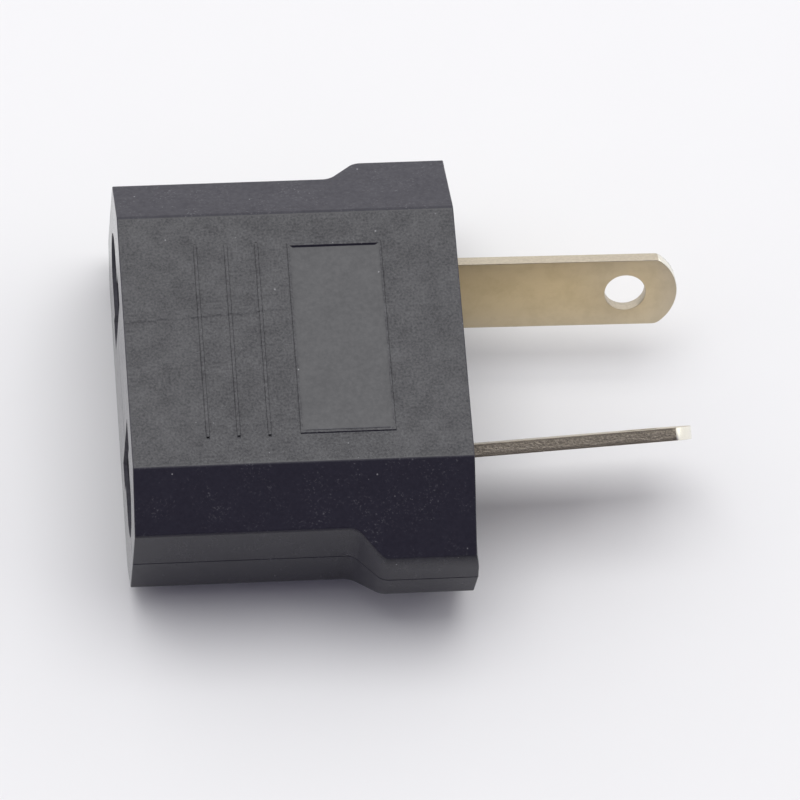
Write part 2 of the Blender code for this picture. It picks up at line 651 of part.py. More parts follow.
def build_rivet(name, side, material):
    """Rivet with a flat head on the leaf foot and another behind the clip base."""
    front = LEAF_FOOT_CENTRE - LEAF_THICKNESS / 2 - FIT_GAP
    rear = CLIP_REAR + RIVET_GAP
    shank = rivet_form(side, RIVET_DIAMETER, front - RIVET_HEAD_HEIGHT / 2, rear + RIVET_HEAD_HEIGHT / 2)
    rivet = make_object(name, shank, material)
    front_head = rivet_form(side, RIVET_HEAD_DIAMETER, front - RIVET_HEAD_HEIGHT, front)
    combine(rivet, make_cutter(f"{name}_front_head_form", front_head), "UNION")
    rear_head = rivet_form(side, RIVET_HEAD_DIAMETER, rear, rear + RIVET_HEAD_HEIGHT)
    combine(rivet, make_cutter(f"{name}_rear_head_form", rear_head), "UNION")
    return rivet


def main():
    """Build every piece in its place."""
    clear_scene()
    plastic_upper = make_material("upper shell plastic", (0.035, 0.035, 0.037), 0.55, 0.0)
    plastic_lower = make_material("lower shell plastic", (0.03, 0.03, 0.033), 0.45, 0.0)
    cutters = shared_cutters()
    build_upper_shell(plastic_upper, cutters)
    build_lower_shell(plastic_lower, cutters)
    for name, side, toe_in in (("left", 1.0, LEFT_TOE_IN), ("right", -1.0, RIGHT_TOE_IN)):
        blade_metal = make_material(f"{name} blade metal", (0.62, 0.53, 0.38), 0.35, 1.0)
        clip_metal = make_material(f"{name} clip brass", (0.72, 0.52, 0.25), 0.35, 1.0)
        leaf_metal = make_material(f"{name} leaf bronze", (0.66, 0.42, 0.24), 0.3, 1.0)
        rivet_metal = make_material(f"{name} rivet brass", (0.75, 0.6, 0.35), 0.3, 1.0)
        build_blade(f"{name}_blade", side, toe_in, blade_metal)
        build_clip(f"{name}_contact_clip", side, clip_metal)
        build_leaf(f"{name}_spring_leaf", side, leaf_metal)
        build_rivet(f"{name}_leaf_rivet", side, rivet_metal)


main()
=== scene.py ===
"""Looks of a small black travel plug adapter, shaped and finished piece by piece on its packed frame.

The file is laid out as an add-on and is run as a script. Lengths are in metres. +X runs along the plug axis
from the socket face to the blade tips, +Z is up, left is +Y and right is -Y.
"""

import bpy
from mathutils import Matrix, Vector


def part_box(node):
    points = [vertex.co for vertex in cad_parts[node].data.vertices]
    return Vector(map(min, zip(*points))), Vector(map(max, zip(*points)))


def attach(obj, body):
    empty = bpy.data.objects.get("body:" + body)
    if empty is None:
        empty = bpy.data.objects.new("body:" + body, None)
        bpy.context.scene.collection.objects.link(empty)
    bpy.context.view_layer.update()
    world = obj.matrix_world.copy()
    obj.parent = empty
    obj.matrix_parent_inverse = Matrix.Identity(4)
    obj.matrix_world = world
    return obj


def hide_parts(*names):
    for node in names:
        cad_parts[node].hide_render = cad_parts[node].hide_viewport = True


bl_info = {
    "name": "Travel plug adapter",
    "version": (1, 0, 0),
    "blender": (4, 5, 0),
    "location": "View3D > Sidebar > Adapter",
    "description": "Shapes and finishes the pieces of a travel plug adapter on its packed frame",
    "category": "Object",
}

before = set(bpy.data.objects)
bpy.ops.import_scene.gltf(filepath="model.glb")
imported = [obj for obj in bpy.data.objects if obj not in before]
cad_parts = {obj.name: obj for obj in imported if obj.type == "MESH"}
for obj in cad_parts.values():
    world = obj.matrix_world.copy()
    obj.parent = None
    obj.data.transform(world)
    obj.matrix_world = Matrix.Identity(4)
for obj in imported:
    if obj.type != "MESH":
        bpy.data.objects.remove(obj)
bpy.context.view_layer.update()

import math
from contextlib import contextmanager
from typing import NamedTuple

import bmesh
import bpy
from mathutils import Matrix, Vector

MM = 0.001
CASING_BODY = "casing"
SIDES = (("left", 1.0), ("right", -1.0))

# Boxes of the packed nodes, from which the main sizes follow
UPPER_LOW, UPPER_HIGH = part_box("upper_shell")
LOWER_LOW, LOWER_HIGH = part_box("lower_shell")
BLADE_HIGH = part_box("left_blade")[1]
CLIP_LOW, CLIP_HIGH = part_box("left_contact_clip")
LEAF_LOW, LEAF_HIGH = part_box("left_spring_leaf")
PACKED_SEAM_GAP = 0.2 * MM
PACKED_RIB_HEIGHT = 0.1 * MM

# Walls, lip, pegs and barrier inside the shells
SIDE_WALL = 1.8 * MM
SOCKET_WALL = 2.2 * MM
BLADE_WALL = 2.85 * MM
LIP_THICKNESS = 0.7 * MM
LIP_HEIGHT = 1.0 * MM
LIP_GAP = 0.2 * MM
PEG_PLACES = (6.0 * MM, 19.0 * MM)
POST_DIAMETER = 3.4 * MM
PEG_DIAMETER = 2.0 * MM
PEG_HEIGHT = 2.4 * MM
PEG_GAP = 0.2 * MM
BOSS_WALL = 1.0 * MM
BARRIER_THICKNESS = 1.4 * MM
CRADLE_WIDTH = 2.8 * MM
CRADLE_WALL = 0.9 * MM
CRADLE_GRIP = 0.6 * MM

# Steps, clearances and angles of the modelling itself
FIT_GAP = 0.3 * MM
RIVET_GAP = 0.15 * MM
SUNK = 0.6 * MM
OVERCUT = 1.0 * MM
TIP_CLEARANCE = 0.02 * MM
ARC_STEPS = 12
ROUND_SIDES = 48
EDGE_SEGMENTS = 4
METAL_SEGMENTS = 2
CHAMFER_SEGMENTS = 1
SHOULDER_STEPS = 8
SHARP_ANGLE = math.radians(25.0)
CREASE_ANGLE = math.radians(30.0)

# Share of the flange face's bow that is gone at its upper and at its lower shoulders
UPPER_BOW_LOSS = 1.0
LOWER_BOW_LOSS = 0.5

# Limits on a face's normal and place that tell the finishes apart
LEVEL = 0.999
END_ON = 0.97
ON_END = 0.01 * MM
UPRIGHT = 0.5
LENGTHWISE = 0.1
GENTLE_SLANT = 0.8
STEEP_SLANT = 0.3
BLADE_FACE = 0.9

# Ranges of values in the finishes. Most of a noise lies in the last one
RISING = (0.0, 1.0)
FALLING = (1.0, 0.0)
NOISE_RANGE = (0.3, 0.7)

# Sockets of a mix node that mixes colours
MIX_SHARE = 0
MIX_COLOURS = (6, 7)
MIX_RESULT = 2

# Faces of the moulded plastic. Grain and depth are shares of the spark texture's, and rough holds the
# roughness of the dark and of the pale grains
PLASTICS = {
    "spark": dict(tones="spark", grain=1.0, depth=1.0, rough=(0.54, 0.36), dusty=0.06, marked=True),
    "satin": dict(tones="plastic", grain=2.0, depth=0.1, rough=(0.46, 0.34), dusty=0.1, scuffed=0.5),
    "panel": dict(tones="panel", grain=2.0, depth=0.06, rough=(0.45, 0.41), dusty=0.02),
    "polished": dict(tones="plastic", grain=2.0, depth=0.03, rough=(0.18, 0.11), dusty=0.04),
    "raw": dict(tones="plastic", grain=2.0, depth=1.0, rough=(0.8, 0.65), dusty=0.02),
    "smooth": dict(
        tones="plastic", grain=2.0, depth=0.06, rough=(0.27, 0.2), dusty=0.06, scuffed=0.3, gloss=0.3
    ),
}

# Clouds and pale grains of the plastic
CLOUD_GRAINS = 8.0
CLOUD_SHARE = 0.6
PALE_GRAINS = (0.58, 1.02)

# Dust specks: spacing, radius, share of it that is solid, and spread of sizes and strengths
SPECK_SPACING = 0.7 * MM
SPECK_RADIUS = 0.08 * MM
SPECK_CORE = 0.4
SPECK_SIZES = (0.5, 1.3)
SPECK_STRENGTHS = (0.25, 0.9)

# Scuffs: size and spread of their patches, size of a mark in grains and spread of the marks
SCUFF_PATCH = 2.2 * MM
SCUFF_PATCHES = (0.42, 0.68)
SCUFF_GRAINS = 0.5
SCUFF_MARKS = (0.58, 0.74)

# Flow mark on the top face: course, wander, soft borders, stretch where it fades out, and strength
FLOW_MARK_PLACE = 2.5 * MM
FLOW_MARK_SLOPE = 0.058
FLOW_MARK_GRAIN = 1.5 * MM
FLOW_MARK_WANDER = 0.8 * MM
FLOW_MARK_BORDER = (0.02 * MM, 0.13 * MM)
FLOW_MARK_FADE = (-11.0 * MM, -7.0 * MM)
FLOW_MARK_TONE = 0.34
FLOW_MARK_DEPTH = 0.3

# Rolled metal: length, width and depth of its lines, stained patches, and tones at both ends of a span, with
# painted shade at its root end
ROLL_LINE = (4.0 * MM, 0.06 * MM)
ROLL_DEPTH = 0.002 * MM
STAIN_PATCH = 1.6 * MM
STAIN_PATCHES = (0.42, 0.68)
ROOT_SHADE_SHARES = (0.87, 1.12)

# Rolled metals: roughness along their lines and, in those of one tone, the share of it in stained patches
BLADE_ROUGH = (0.28, 0.38)
BURNISHED_HIGHLIGHT_TIP = dict(stain=0.95, rough=(0.15, 0.25))
CLIP_STRIP = dict(stain=0.8, rough=(0.28, 0.42))
LEAF_STRIP = dict(stain=0.8, rough=(0.24, 0.38))
RIVET_WIRE = dict(stain=0.85, rough=(0.25, 0.38))

# Sheared blade edges: length and width of their grains, share of bright ones and depth
SMOOTH_EDGE = dict(grain=(0.28 * MM, 0.15 * MM), bright=(0.85, 1.0), depth=0.03 * MM)
# The right blade's edge has few bright grains: its dark tone is painted shade of an edge that faces the dim
# front.
TEAR_AND_SHADE_EDGE = dict(grain=(0.2 * MM, 0.16 * MM), bright=(0.05, 0.58), depth=0.05 * MM)
SHEARED_GRAINS = (0.42, 0.62)
SHEARED_ROUGH = (0.55, 0.32)

# Dark borders of the ragged sheared edge, which are painted shade, and the burr that wanders along it
TEAR_SHADE_OFFSET = 0.05 * MM
TEAR_SHADE_BORDER = (0.22 * MM, 0.44 * MM)
TEAR_PAINTED_SHADE = (1.0, 0.05)
BURR_GRAIN = 2.6 * MM
BURR_WANDER = 0.9 * MM
BURR_PLACE = 0.6 * MM
BURR_BORDER = (0.02 * MM, 0.14 * MM)
BURR_SHADE = (0.6, 0.0)
BURR_GRAINS = (0.35, 0.55)
BURR_STRENGTHS = (0.3, 1.0)

# Mottle of the floor, and where the dim front of the room gives way to its rear and side walls
FLOOR_MOTTLE = 9.0 * MM
FLOOR_SHADE = 0.985
REAR_WALL_TURN = (-0.35, 0.4)
SIDE_WALL_TURN = (-0.6, 0.0)
BRIGHTEST_WALL = 4.0


def length(name, description, default):
    """Length property in metres."""
    return bpy.props.FloatProperty(
        name=name, description=description, default=default, min=0.0, precision=5,
        unit="LENGTH", subtype="DISTANCE",
    )


def angle(name, description, degrees):
    """Angle property, given in degrees and kept in radians."""
    return bpy.props.FloatProperty(
        name=name, description=description, default=math.radians(degrees), unit="ROTATION", subtype="ANGLE"
    )


def number(name, description, default):
    """Plain number property."""
    return bpy.props.FloatProperty(name=name, description=description, default=default, min=0.0)


def colour(name, description, default, most=1.0):
    """Linear colour property. A wall that gives light may be brighter than white."""
    return bpy.props.FloatVectorProperty(
        name=name, description=description, default=default, size=3, min=0.0, max=most, subtype="COLOR"
    )


class CasingSettings(bpy.types.PropertyGroup):
    """Outer sizes of the two moulded shells."""

    body_length: length("Length", "Socket face to flange face", LOWER_HIGH.x - LOWER_LOW.x)
    thickness: length("Thickness", "Rest face to top face", UPPER_HIGH.z - PACKED_RIB_HEIGHT - LOWER_LOW.z)
    parting_height: length("Parting height", "Rest face to seam", UPPER_LOW.z - PACKED_SEAM_GAP / 2)
    top_flat_width: length("Top flat", "Width of the top face", 22.1 * MM)
    bottom_flat_width: length("Bottom flat", "Width of the rest face", 25.2 * MM)
    narrow_width: length("Narrow width", "Width at the socket end", 31.3 * MM)
    flange_width: length("Flange width", "Width at the blade end", 2 * LOWER_HIGH.y)
    step_start: length("Step start", "Socket face to where the flange starts", 17.45 * MM)
    step_run: length("Step run", "Length over which the flange widens", 2.2 * MM)
    step_radius: length("Step radius", "Rounding of the two corners of the step", 1.4 * MM)
    upper_slope: angle("Upper slope", "Fall of the sloped faces beside the top", 34.5)
    lower_slope: angle("Lower slope", "Rise of the sloped faces beside the rest face", 38.5)
    side_draft: angle("Draft", "Lean of the long sides from the seam", 1.0)
    edge_width: length("Edge width", "Width of the rounding along the top and the rest face", 0.24 * MM)
    shoulder_drop: length("Shoulder drop", "Reach of the shoulders' rounding down the sides", 0.22 * MM)
    shoulder_run: length("Shoulder run", "Reach of the shoulders' rounding up the slopes", 0.19 * MM)
    flange_drop: length("Flange drop", "Reach of the flange shoulders' rounding down its sides", 1.7 * MM)
    flange_run: length("Flange run", "Reach of the flange shoulders' rounding up the slopes", 0.3 * MM)
    flange_bow: length("Flange bow", "Bow of the flange face at the seam", 0.36 * MM)
    end_edge_width: length("End edge width", "Width of the rounding round the two ends", 0.12 * MM)
    far_edge_width: length("Far edge width", "Rounding between the top and its left slope", 0.45 * MM)
    seam_gap: length("Seam gap", "Gap between the shells at the seam", 0.06 * MM)
    seam_chamfer: length("Seam chamfer", "Broken edge along the seam", 0.05 * MM)


class TopSettings(bpy.types.PropertyGroup):
    """Ribs and label panel on the top face, measured from the socket face."""

    rib_count: bpy.props.IntProperty(name="Ribs", description="Number of ribs", default=3, min=1)
    rib_first: length("First rib", "Place of the first rib", 6.06 * MM)
    rib_pitch: length("Rib pitch", "Distance from rib to rib", 2.44 * MM)
    rib_length: length("Rib length", "Length of a rib across the top", 17.0 * MM)
    rib_width: length("Rib width", "Width of a rib at its foot", 0.32 * MM)
    rib_height: length("Rib height", "Height of a rib", 0.075 * MM)
    rib_flank: length("Rib flank", "Run of a rib's steep flanks", 0.055 * MM)
    pit_diameter: length("Pit diameter", "Small pits at the ends of each rib", 0.25 * MM)
    right_pit_depth: length("Right pit depth", "Depth of the pit at the right end", 0.11 * MM)
    left_pit_depth: length("Left pit depth", "Depth of the pit at the left end", 0.04 * MM)
    offset: length("Offset", "Shift of the ribs and the panel to the right of the middle", 0.18 * MM)
    label_centre: length("Label place", "Middle of the label panel", 17.15 * MM)
    label_run: length("Label run", "Outer size of the rim along the plug axis", 7.6 * MM)
    label_width: length("Label width", "Outer size of the rim across the plug axis", 16.85 * MM)
    label_depth: length("Label depth", "Depth of the panel below the top face", 0.05 * MM)
    rim_width: length("Rim width", "Width of the raised rim", 0.24 * MM)
    rim_height: length("Rim height", "Height of the raised rim", 0.09 * MM)
    rim_flank: length("Rim flank", "Run of the rim's outer flanks", 0.07 * MM)
    wall_slant: length("Wall slant", "Run of the panel's two short walls", 0.13 * MM)
    end_slant: length("End slant", "Run of the panel's two long walls", 0.26 * MM)


class SocketSettings(bpy.types.PropertyGroup):
    """Holes in the socket face and the pins that they take."""

    contact_height: length("Contact height", "Height of the pins", (CLIP_LOW.z + CLIP_HIGH.z) / 2)
    flat_pitch: length("Flat pin pitch", "Distance between flat pins", 12.7 * MM)
    flat_pin_thickness: length("Flat pin", "Thickness of a flat pin", 1.5 * MM)
    round_pitch: length("Round pin pitch", "Distance between round pins", 19.0 * MM)
    round_pin_diameter: length("Round pin", "Diameter of a round pin", 4.8 * MM)
    round_pin_length: length("Round pin length", "Length of a round pin", 19.0 * MM)
    slot_width: length("Slot width", "Width of the slot for a flat pin", 2.0 * MM)
    slot_height: length("Slot height", "Height of the slot for a flat pin", 7.6 * MM)
    hole_height: length("Hole height", "Height of the hole for a round pin", 5.0 * MM)
    hole_reach: length("Hole reach", "Reach of that hole beyond the round pin's middle", 3.45 * MM)
    lead_in: length("Lead-in", "Chamfer round each hole", 0.3 * MM)


class BladeSettings(bpy.types.PropertyGroup):
    """Flat plug blades."""

    pitch: length("Pitch", "Distance between the blades at their roots", 14.1 * MM)
    width: length("Width", "Width of a blade", 6.2 * MM)
    thickness: length("Thickness", "Thickness of a blade", 1.05 * MM)
    reach: length("Reach", "Flange face to blade tip", BLADE_HIGH.x - LOWER_HIGH.x - TIP_CLEARANCE)
    left_tilt: angle("Left tilt", "Lean of the left blade from upright", 29.0)
    right_tilt: angle("Right tilt", "Lean of the right blade from upright", 26.3)
    left_toe_in: angle("Left toe-in", "Lean of the left blade towards the middle", 1.2)
    right_toe_in: angle("Right toe-in", "Lean of the right blade towards the middle", 2.6)
    toe_start: length("Toe start", "Flange face to the bend", 0.4 * MM)
    tip_radius: length("Tip radius", "Radius of the bowed tip", 3.8 * MM)
    tip_corner: length("Tip corner", "Radius between the tip and the long edges", 0.9 * MM)
    burnish: length("Burnish", "Tip to where its burnished metal starts", 1.6 * MM)
    hole_diameter: length("Hole diameter", "Hole near the tip", 3.3 * MM)
    hole_setback: length("Hole setback", "Tip to the middle of the hole", 4.2 * MM)
    edge_width: length("Edge width", "Width of the rounding along each edge", 0.1 * MM)
    slot_gap: length("Slot gap", "Gap round the blade in the flange face", 0.06 * MM)
    tang_width: length("Tang width", "Width of the tang behind the shoulders", 3.0 * MM)
    head_width: length("Head width", "Width of the staked head", 3.4 * MM)
    head_thickness: length("Head thickness", "Thickness of the staked head", 1.7 * MM)
    head_length: length("Head length", "Length of the staked head", 0.7 * MM)


class ContactSettings(bpy.types.PropertyGroup):
    """Clips, leaves and rivets behind the holes."""

    clip_thickness: length("Clip strip", "Thickness of the clip strip", 0.8 * MM)
    clip_height: length("Clip height", "Height of the clip strip", CLIP_HIGH.z - CLIP_LOW.z)
    clip_setback: length("Clip setback", "Gap between the clip base and the blade wall", 1.0 * MM)
    clip_bend: length("Clip bend", "Bend radius of the clip strip", 0.8 * MM)
    jaw_gap: length("Jaw gap", "Gap between a pin and its jaw", 0.15 * MM)
    jaw_front: length("Jaw front", "Socket face to the mouth of the jaws", 6.0 * MM)
    flare_run: length("Flare run", "Length of the flared mouth", 2.0 * MM)
    flare: length("Flare", "Widening of the flared mouth", 0.8 * MM)
    jog: length("Jog", "Sideways jog of the inner jaw", 0.85 * MM)
    jog_start: length("Jog start", "Clip base to the jog", 3.2 * MM)
    jog_run: length("Jog run", "Length of the jog", 2.0 * MM)
    leaf_thickness: length("Leaf strip", "Thickness of the leaf", 0.4 * MM)
    leaf_height: length("Leaf height", "Height of the leaf", LEAF_HIGH.z - LEAF_LOW.z)
    leaf_bend: length("Leaf bend", "Bend radius of the leaf", 0.7 * MM)
    leaf_front: length("Leaf front", "Socket face to the leaf's free end", 6.5 * MM)
    leaf_front_offset: length("Leaf front offset", "Free end's distance from the flat pin's middle", 0.9 * MM)
    flat_bump: length("Flat bump", "Socket face to the bump for flat pins", 9.5 * MM)
    flat_bite: length("Flat bite", "How far that bump reaches into a flat pin's way", 0.35 * MM)
    round_bump: length("Round bump", "Socket face to the bump for round pins", 14.0 * MM)
    round_bite: length("Round bite", "How far that bump reaches into a round pin's way", 0.5 * MM)
    slant_gap: length("Slant gap", "Gap between a round pin's tip and the leaf's slant", 0.4 * MM)
    root_run: length("Root run", "Straight length at the leaf's root", 0.9 * MM)
    foot_length: length("Foot length", "Length of the riveted foot", 2.3 * MM)
    head_gap: length("Head gap", "Gap between the leaf and the blade's staked head", 0.55 * MM)
    rivet_diameter: length("Rivet", "Diameter of the rivet's shank", 1.2 * MM)
    rivet_head: length("Rivet head", "Diameter of the rivet's heads", 2.4 * MM)
    rivet_head_height: length("Rivet head height", "Height of the rivet's heads", 0.5 * MM)
    strip_edge: length("Strip edge", "Rounding along the edges of the strips", 0.06 * MM)


class FinishSettings(bpy.types.PropertyGroup):
    """Colours and grain of the finishes."""

    plastic: colour("Plastic", "Black moulded plastic", (0.011, 0.0095, 0.019))
    plastic_pale: colour("Pale grain", "Paler grains in the plastic", (0.021, 0.0195, 0.030))
    spark: colour("Spark", "Plastic of the spark textured faces", (0.018, 0.0175, 0.022))
    spark_pale: colour("Pale spark", "Paler grains of the spark texture", (0.066, 0.066, 0.071))
    panel: colour("Panel", "Plastic of the label panel", (0.034, 0.034, 0.038))
    panel_pale: colour("Pale panel", "Paler grains of the label panel", (0.050, 0.050, 0.054))
    dust: colour("Dust", "Specks and scuffs on the plastic", (0.36, 0.355, 0.37))
    spark_grain: length("Spark grain", "Grain size of the spark texture", 0.2 * MM)
    spark_depth: length("Spark depth", "Depth of the spark texture", 0.06 * MM)
    blade_brass: colour("Blade brass", "Pale brass of the blade faces", (0.58, 0.51, 0.385))
    blade_stain: colour("Blade stain", "Stained patches on the blade faces", (0.52, 0.455, 0.335))
    sheared_pale: colour("Sheared pale", "Bright grains of a sheared edge", (0.58, 0.515, 0.41))
    # Dark grains, which cover most of the right blade's edge as painted shade.
    sheared_dark_and_shade: colour("Sheared dark", "Dark grains of a sheared edge", (0.20, 0.175, 0.14))
    # The tips' near-white tone is partly real burnish and partly a painted highlight where their rounded ends
    # catch the light.
    burnished_highlight: colour("Burnished tip", "Bright metal of the rounded tips", (0.92, 0.89, 0.78))
    clip_brass: colour("Clip brass", "Rolled brass of the clips", (0.72, 0.52, 0.25))
    leaf_bronze: colour("Leaf bronze", "Rolled bronze of the leaves", (0.66, 0.42, 0.24))
    rivet_brass: colour("Rivet brass", "Headed brass of the rivets", (0.75, 0.60, 0.35))
    floor: colour("Floor", "Pale floor", (0.83, 0.828, 0.832))


class StageSettings(bpy.types.PropertyGroup):
    """Camera, softbox and floor."""

    elevation: angle("Elevation", "Height of the camera above the floor", 63.651)
    azimuth: angle("Azimuth", "Turn of the camera about the upright", -12.252)
    roll: angle("Roll", "Roll of the camera", 8.878)
    distance: length("Distance", "Camera to target", 577.66 * MM)
    target: bpy.props.FloatVectorProperty(
        name="Target", description="Point at the middle of the picture", size=3, unit="LENGTH",
        subtype="TRANSLATION", default=(-0.441 * MM, -2.251 * MM, 7.321 * MM),
    )
    lens: number("Lens", "Focal length in millimetres", 324.76)
    floor_size: length("Floor size", "Side of the floor", 6.0)
    softbox_elevation: angle("Softbox elevation", "Height of the softbox behind the part", 73.0)
    softbox_distance: length("Softbox distance", "Part to softbox", 0.8)
    softbox_width: length("Softbox width", "Level side of the softbox", 0.8)
    softbox_height: length("Softbox height", "Tilted side of the softbox", 0.5)
    softbox_radiance: number("Softbox brightness", "Radiance of the softbox", 2.6)
    rear: colour("Rear wall", "Light from the pale wall behind", (1.10, 1.10, 1.10), BRIGHTEST_WALL)
    front: colour("Front", "Light from the dim room in front", (0.115, 0.105, 0.165), BRIGHTEST_WALL)
    sides: colour("Side walls", "Light from the pale walls beside", (1.4, 1.4, 1.4), BRIGHTEST_WALL)


# Outlines and solids


def rectangle(low_a, high_a, low_b, high_b):
    """Corners of an upright rectangle."""
    return [(low_a, low_b), (high_a, low_b), (high_a, high_b), (low_a, high_b)]


def arc(centre, radius, start, end, steps):
    """Points along an arc, both ends included, with angles in radians."""
    turns = [start + (end - start) * i / steps for i in range(steps + 1)]
    return [(centre[0] + radius * math.cos(t), centre[1] + radius * math.sin(t)) for t in turns]


def circle(centre, diameter):
    """Points round a circle."""
    return arc(centre, diameter / 2, 0.0, 2 * math.pi * (1 - 1 / ROUND_SIDES), ROUND_SIDES - 1)


def round_corners(points, radius):
    """Open path with each inner corner turned into an arc of the given radius."""
    path = [Vector(points[0])]
    for before, corner, after in zip(points, points[1:], points[2:]):
        corner = Vector(corner)
        back = (Vector(before) - corner).normalized()
        ahead = (Vector(after) - corner).normalized()
        half_angle = back.angle(ahead) / 2
        reach = radius / math.tan(half_angle)
        centre = corner + (back + ahead).normalized() * (radius / math.sin(half_angle))
        first = corner + back * reach - centre
        turn = first.angle_signed(corner + ahead * reach - centre)
        for i in range(ARC_STEPS + 1):
            path.append(centre + Matrix.Rotation(-turn * i / ARC_STEPS, 2) @ first)
    path.append(Vector(points[-1]))
    return path


def mitre(before, point, after):
    """Sideways move per unit of offset that keeps both stretches at a point parallel to themselves."""
    ahead = (after - point).normalized()
    back = (point - before).normalized()
    ahead = ahead if ahead.length else back
    back = back if back.length else ahead
    normal_back = Vector((-back.y, back.x))
    normal_ahead = Vector((-ahead.y, ahead.x))
    return (normal_back + normal_ahead) / (1.0 + normal_back.dot(normal_ahead))


def path_mitres(path):
    """Mitres along an open path."""
    last = len(path) - 1
    return [mitre(path[max(i - 1, 0)], path[i], path[min(i + 1, last)]) for i in range(last + 1)]


def strip_outline(path, thickness):
    """Closed outline of a strip of even thickness along an open path."""
    moves = path_mitres(path)
    left = [p + m * thickness / 2 for p, m in zip(path, moves)]
    right = [p - m * thickness / 2 for p, m in zip(path, moves)]
    return [tuple(p) for p in left + right[::-1]]


def grow_outline(points, distance):
    """Closed outline, drawn anticlockwise, moved outwards by a distance."""
    ring = [Vector(p) for p in points]
    before, after = ring[-1:] + ring[:-1], ring[1:] + ring[:1]
    return [tuple(p - mitre(b, p, a) * distance) for b, p, a in zip(before, ring, after)]


def loft(rings):
    """Closed solid through rings of equally many points."""
    solid = bmesh.new()
    rows = [[solid.verts.new(p) for p in ring] for ring in rings]
    solid.faces.new(rows[0])
    solid.faces.new(rows[-1])
    for row, following in zip(rows, rows[1:]):
        for i in range(len(row)):
            j = (i + 1) % len(row)
            solid.faces.new((row[i], row[j], following[j], following[i]))
    return solid


def extrude_outline(points, low, high, place):
    """Prism: place(a, b, c) turns an outline point (a, b) at height c into a position."""
    return loft([[place(a, b, height) for a, b in points] for height in (low, high)])


def plan_place(side):
    """Outline in plan, (run from the socket face, distance from the middle), raised along Z."""
    return lambda run, out, height: Vector((LOWER_LOW.x + run, side * out, height))


def end_place(side):
    """Outline across the part, (distance from the middle, height), extruded along X."""
    return lambda out, height, run: Vector((LOWER_LOW.x + run, side * out, height))


def blade_axes(blade, side):
    """Directions up the width of a tilted blade and through its thickness."""
    tilt = blade.left_tilt if side > 0.0 else blade.right_tilt
    across = Vector((0.0, side * math.sin(tilt), math.cos(tilt)))
    through = Vector((0.0, side * math.cos(tilt), -math.sin(tilt)))
    return across, through


def blade_place(blade, socket, side):
    """Outline in the plane of a tilted blade, (run, distance up its width), thickened across it."""
    across, through = blade_axes(blade, side)
    centre = Vector((LOWER_LOW.x, side * blade.pitch / 2, socket.contact_height))
    return lambda run, width, depth: centre + Vector((run, 0.0, 0.0)) + across * width + through * depth


# Pieces as objects


def mesh_of(solid, name):
    """Mesh data-block from a bmesh, with its faces pointing out."""
    bmesh.ops.recalc_face_normals(solid, faces=solid.faces)
    mesh = bpy.data.meshes.new(name)
    solid.to_mesh(mesh)
    solid.free()
    return mesh


def add_object(name, solid):
    """Object in the scene from a bmesh in the frame's coordinates."""
    piece = bpy.data.objects.new(name, mesh_of(solid, name))
    bpy.context.scene.collection.objects.link(piece)
    return piece


def bake_modifiers(piece):
    """Turn a piece's modifiers into its mesh."""
    graph = bpy.context.evaluated_depsgraph_get()
    baked = bpy.data.meshes.new_from_object(piece.evaluated_get(graph))
    piece.modifiers.clear()
    plain = piece.data
    piece.data = baked
    bpy.data.meshes.remove(plain)


def carve(piece, steps):
    """Add and cut away forms, given as (operation, bmesh) pairs in order."""
    helpers = []
    for operation, form in steps:
        helper = add_object(f"{operation.lower()} form", form)
        modifier = piece.modifiers.new(helper.name, "BOOLEAN")
        modifier.operation = operation
        modifier.object = helper
        modifier.solver = "EXACT"
        helpers.append(helper)
    bake_modifiers(piece)
    for helper in helpers:
        mesh = helper.data
        bpy.data.objects.remove(helper)
        bpy.data.meshes.remove(mesh)


def soften(solid, width, segments, chosen):
    """Round the edges of a bmesh that are sharp and that chosen(edge) picks."""
    bmesh.ops.recalc_face_normals(solid, faces=solid.faces)
    edges = [e for e in solid.edges if e.is_manifold and e.calc_face_angle() > SHARP_ANGLE and chosen(e)]
    bmesh.ops.bevel(
        solid, geom=edges, offset=width, offset_type="WIDTH", segments=segments, profile=0.5, affect="EDGES",
        clamp_overlap=True,
    )


@contextmanager
def edited(piece):
    """Mesh of a piece, open for editing as a bmesh."""
    solid = bmesh.new()
    solid.from_mesh(piece.data)
    yield solid
    solid.to_mesh(piece.data)
    solid.free()


def soften_metal(piece, width):
    """Round every sharp edge of a metal piece."""
    with edited(piece) as solid:
        soften(solid, width, METAL_SEGMENTS, lambda edge: True)


def dress(piece, finishes, choose_finish):
    """Give a piece its finishes, choose one by name for each face and shade it evenly."""
    piece.data.materials.clear()
    for finish in finishes.values():
        piece.data.materials.append(finish)
    names = list(finishes)
    for face in piece.data.polygons:
        face.material_index = names.index(choose_finish(face))
    piece.data.shade_smooth()
    piece.data.set_sharp_from_angle(angle=CREASE_ANGLE)
    shading = piece.modifiers.new("even shading", "WEIGHTED_NORMAL")
    shading.keep_sharp = True


def dress_evenly(piece, metal):
    """Give a piece one metal all over."""
    dress(piece, {"metal": metal}, lambda face: "metal")


def seat(piece, body, node):
    """Let a piece ride on a body and stand for a packed node, which is hidden."""
    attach(piece, body)
    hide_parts(node)


# Casing forms


def plan_side(casing, inset, start_inset, end_inset, rounded):
    """One long side of the casing in plan, from the socket end to the flange end, drawn in by the insets."""
    diagonal = math.atan2((casing.flange_width - casing.narrow_width) / 2, casing.step_run)
    shift = inset * math.tan(diagonal / 2)
    corners = [
        (start_inset, casing.narrow_width / 2 - inset),
        (casing.step_start + shift, casing.narrow_width / 2 - inset),
        (casing.step_start + casing.step_run + shift, casing.flange_width / 2 - inset),
        (casing.body_length - end_inset, casing.flange_width / 2 - inset),
    ]
    return round_corners(corners, casing.step_radius) if rounded else [Vector(c) for c in corners]


class HalfSection(NamedTuple):
    """Cross-section of one half of the casing, with heights counted from the parting plane."""

    upward: bool
    rise: float
    slope: float
    flat_half: float


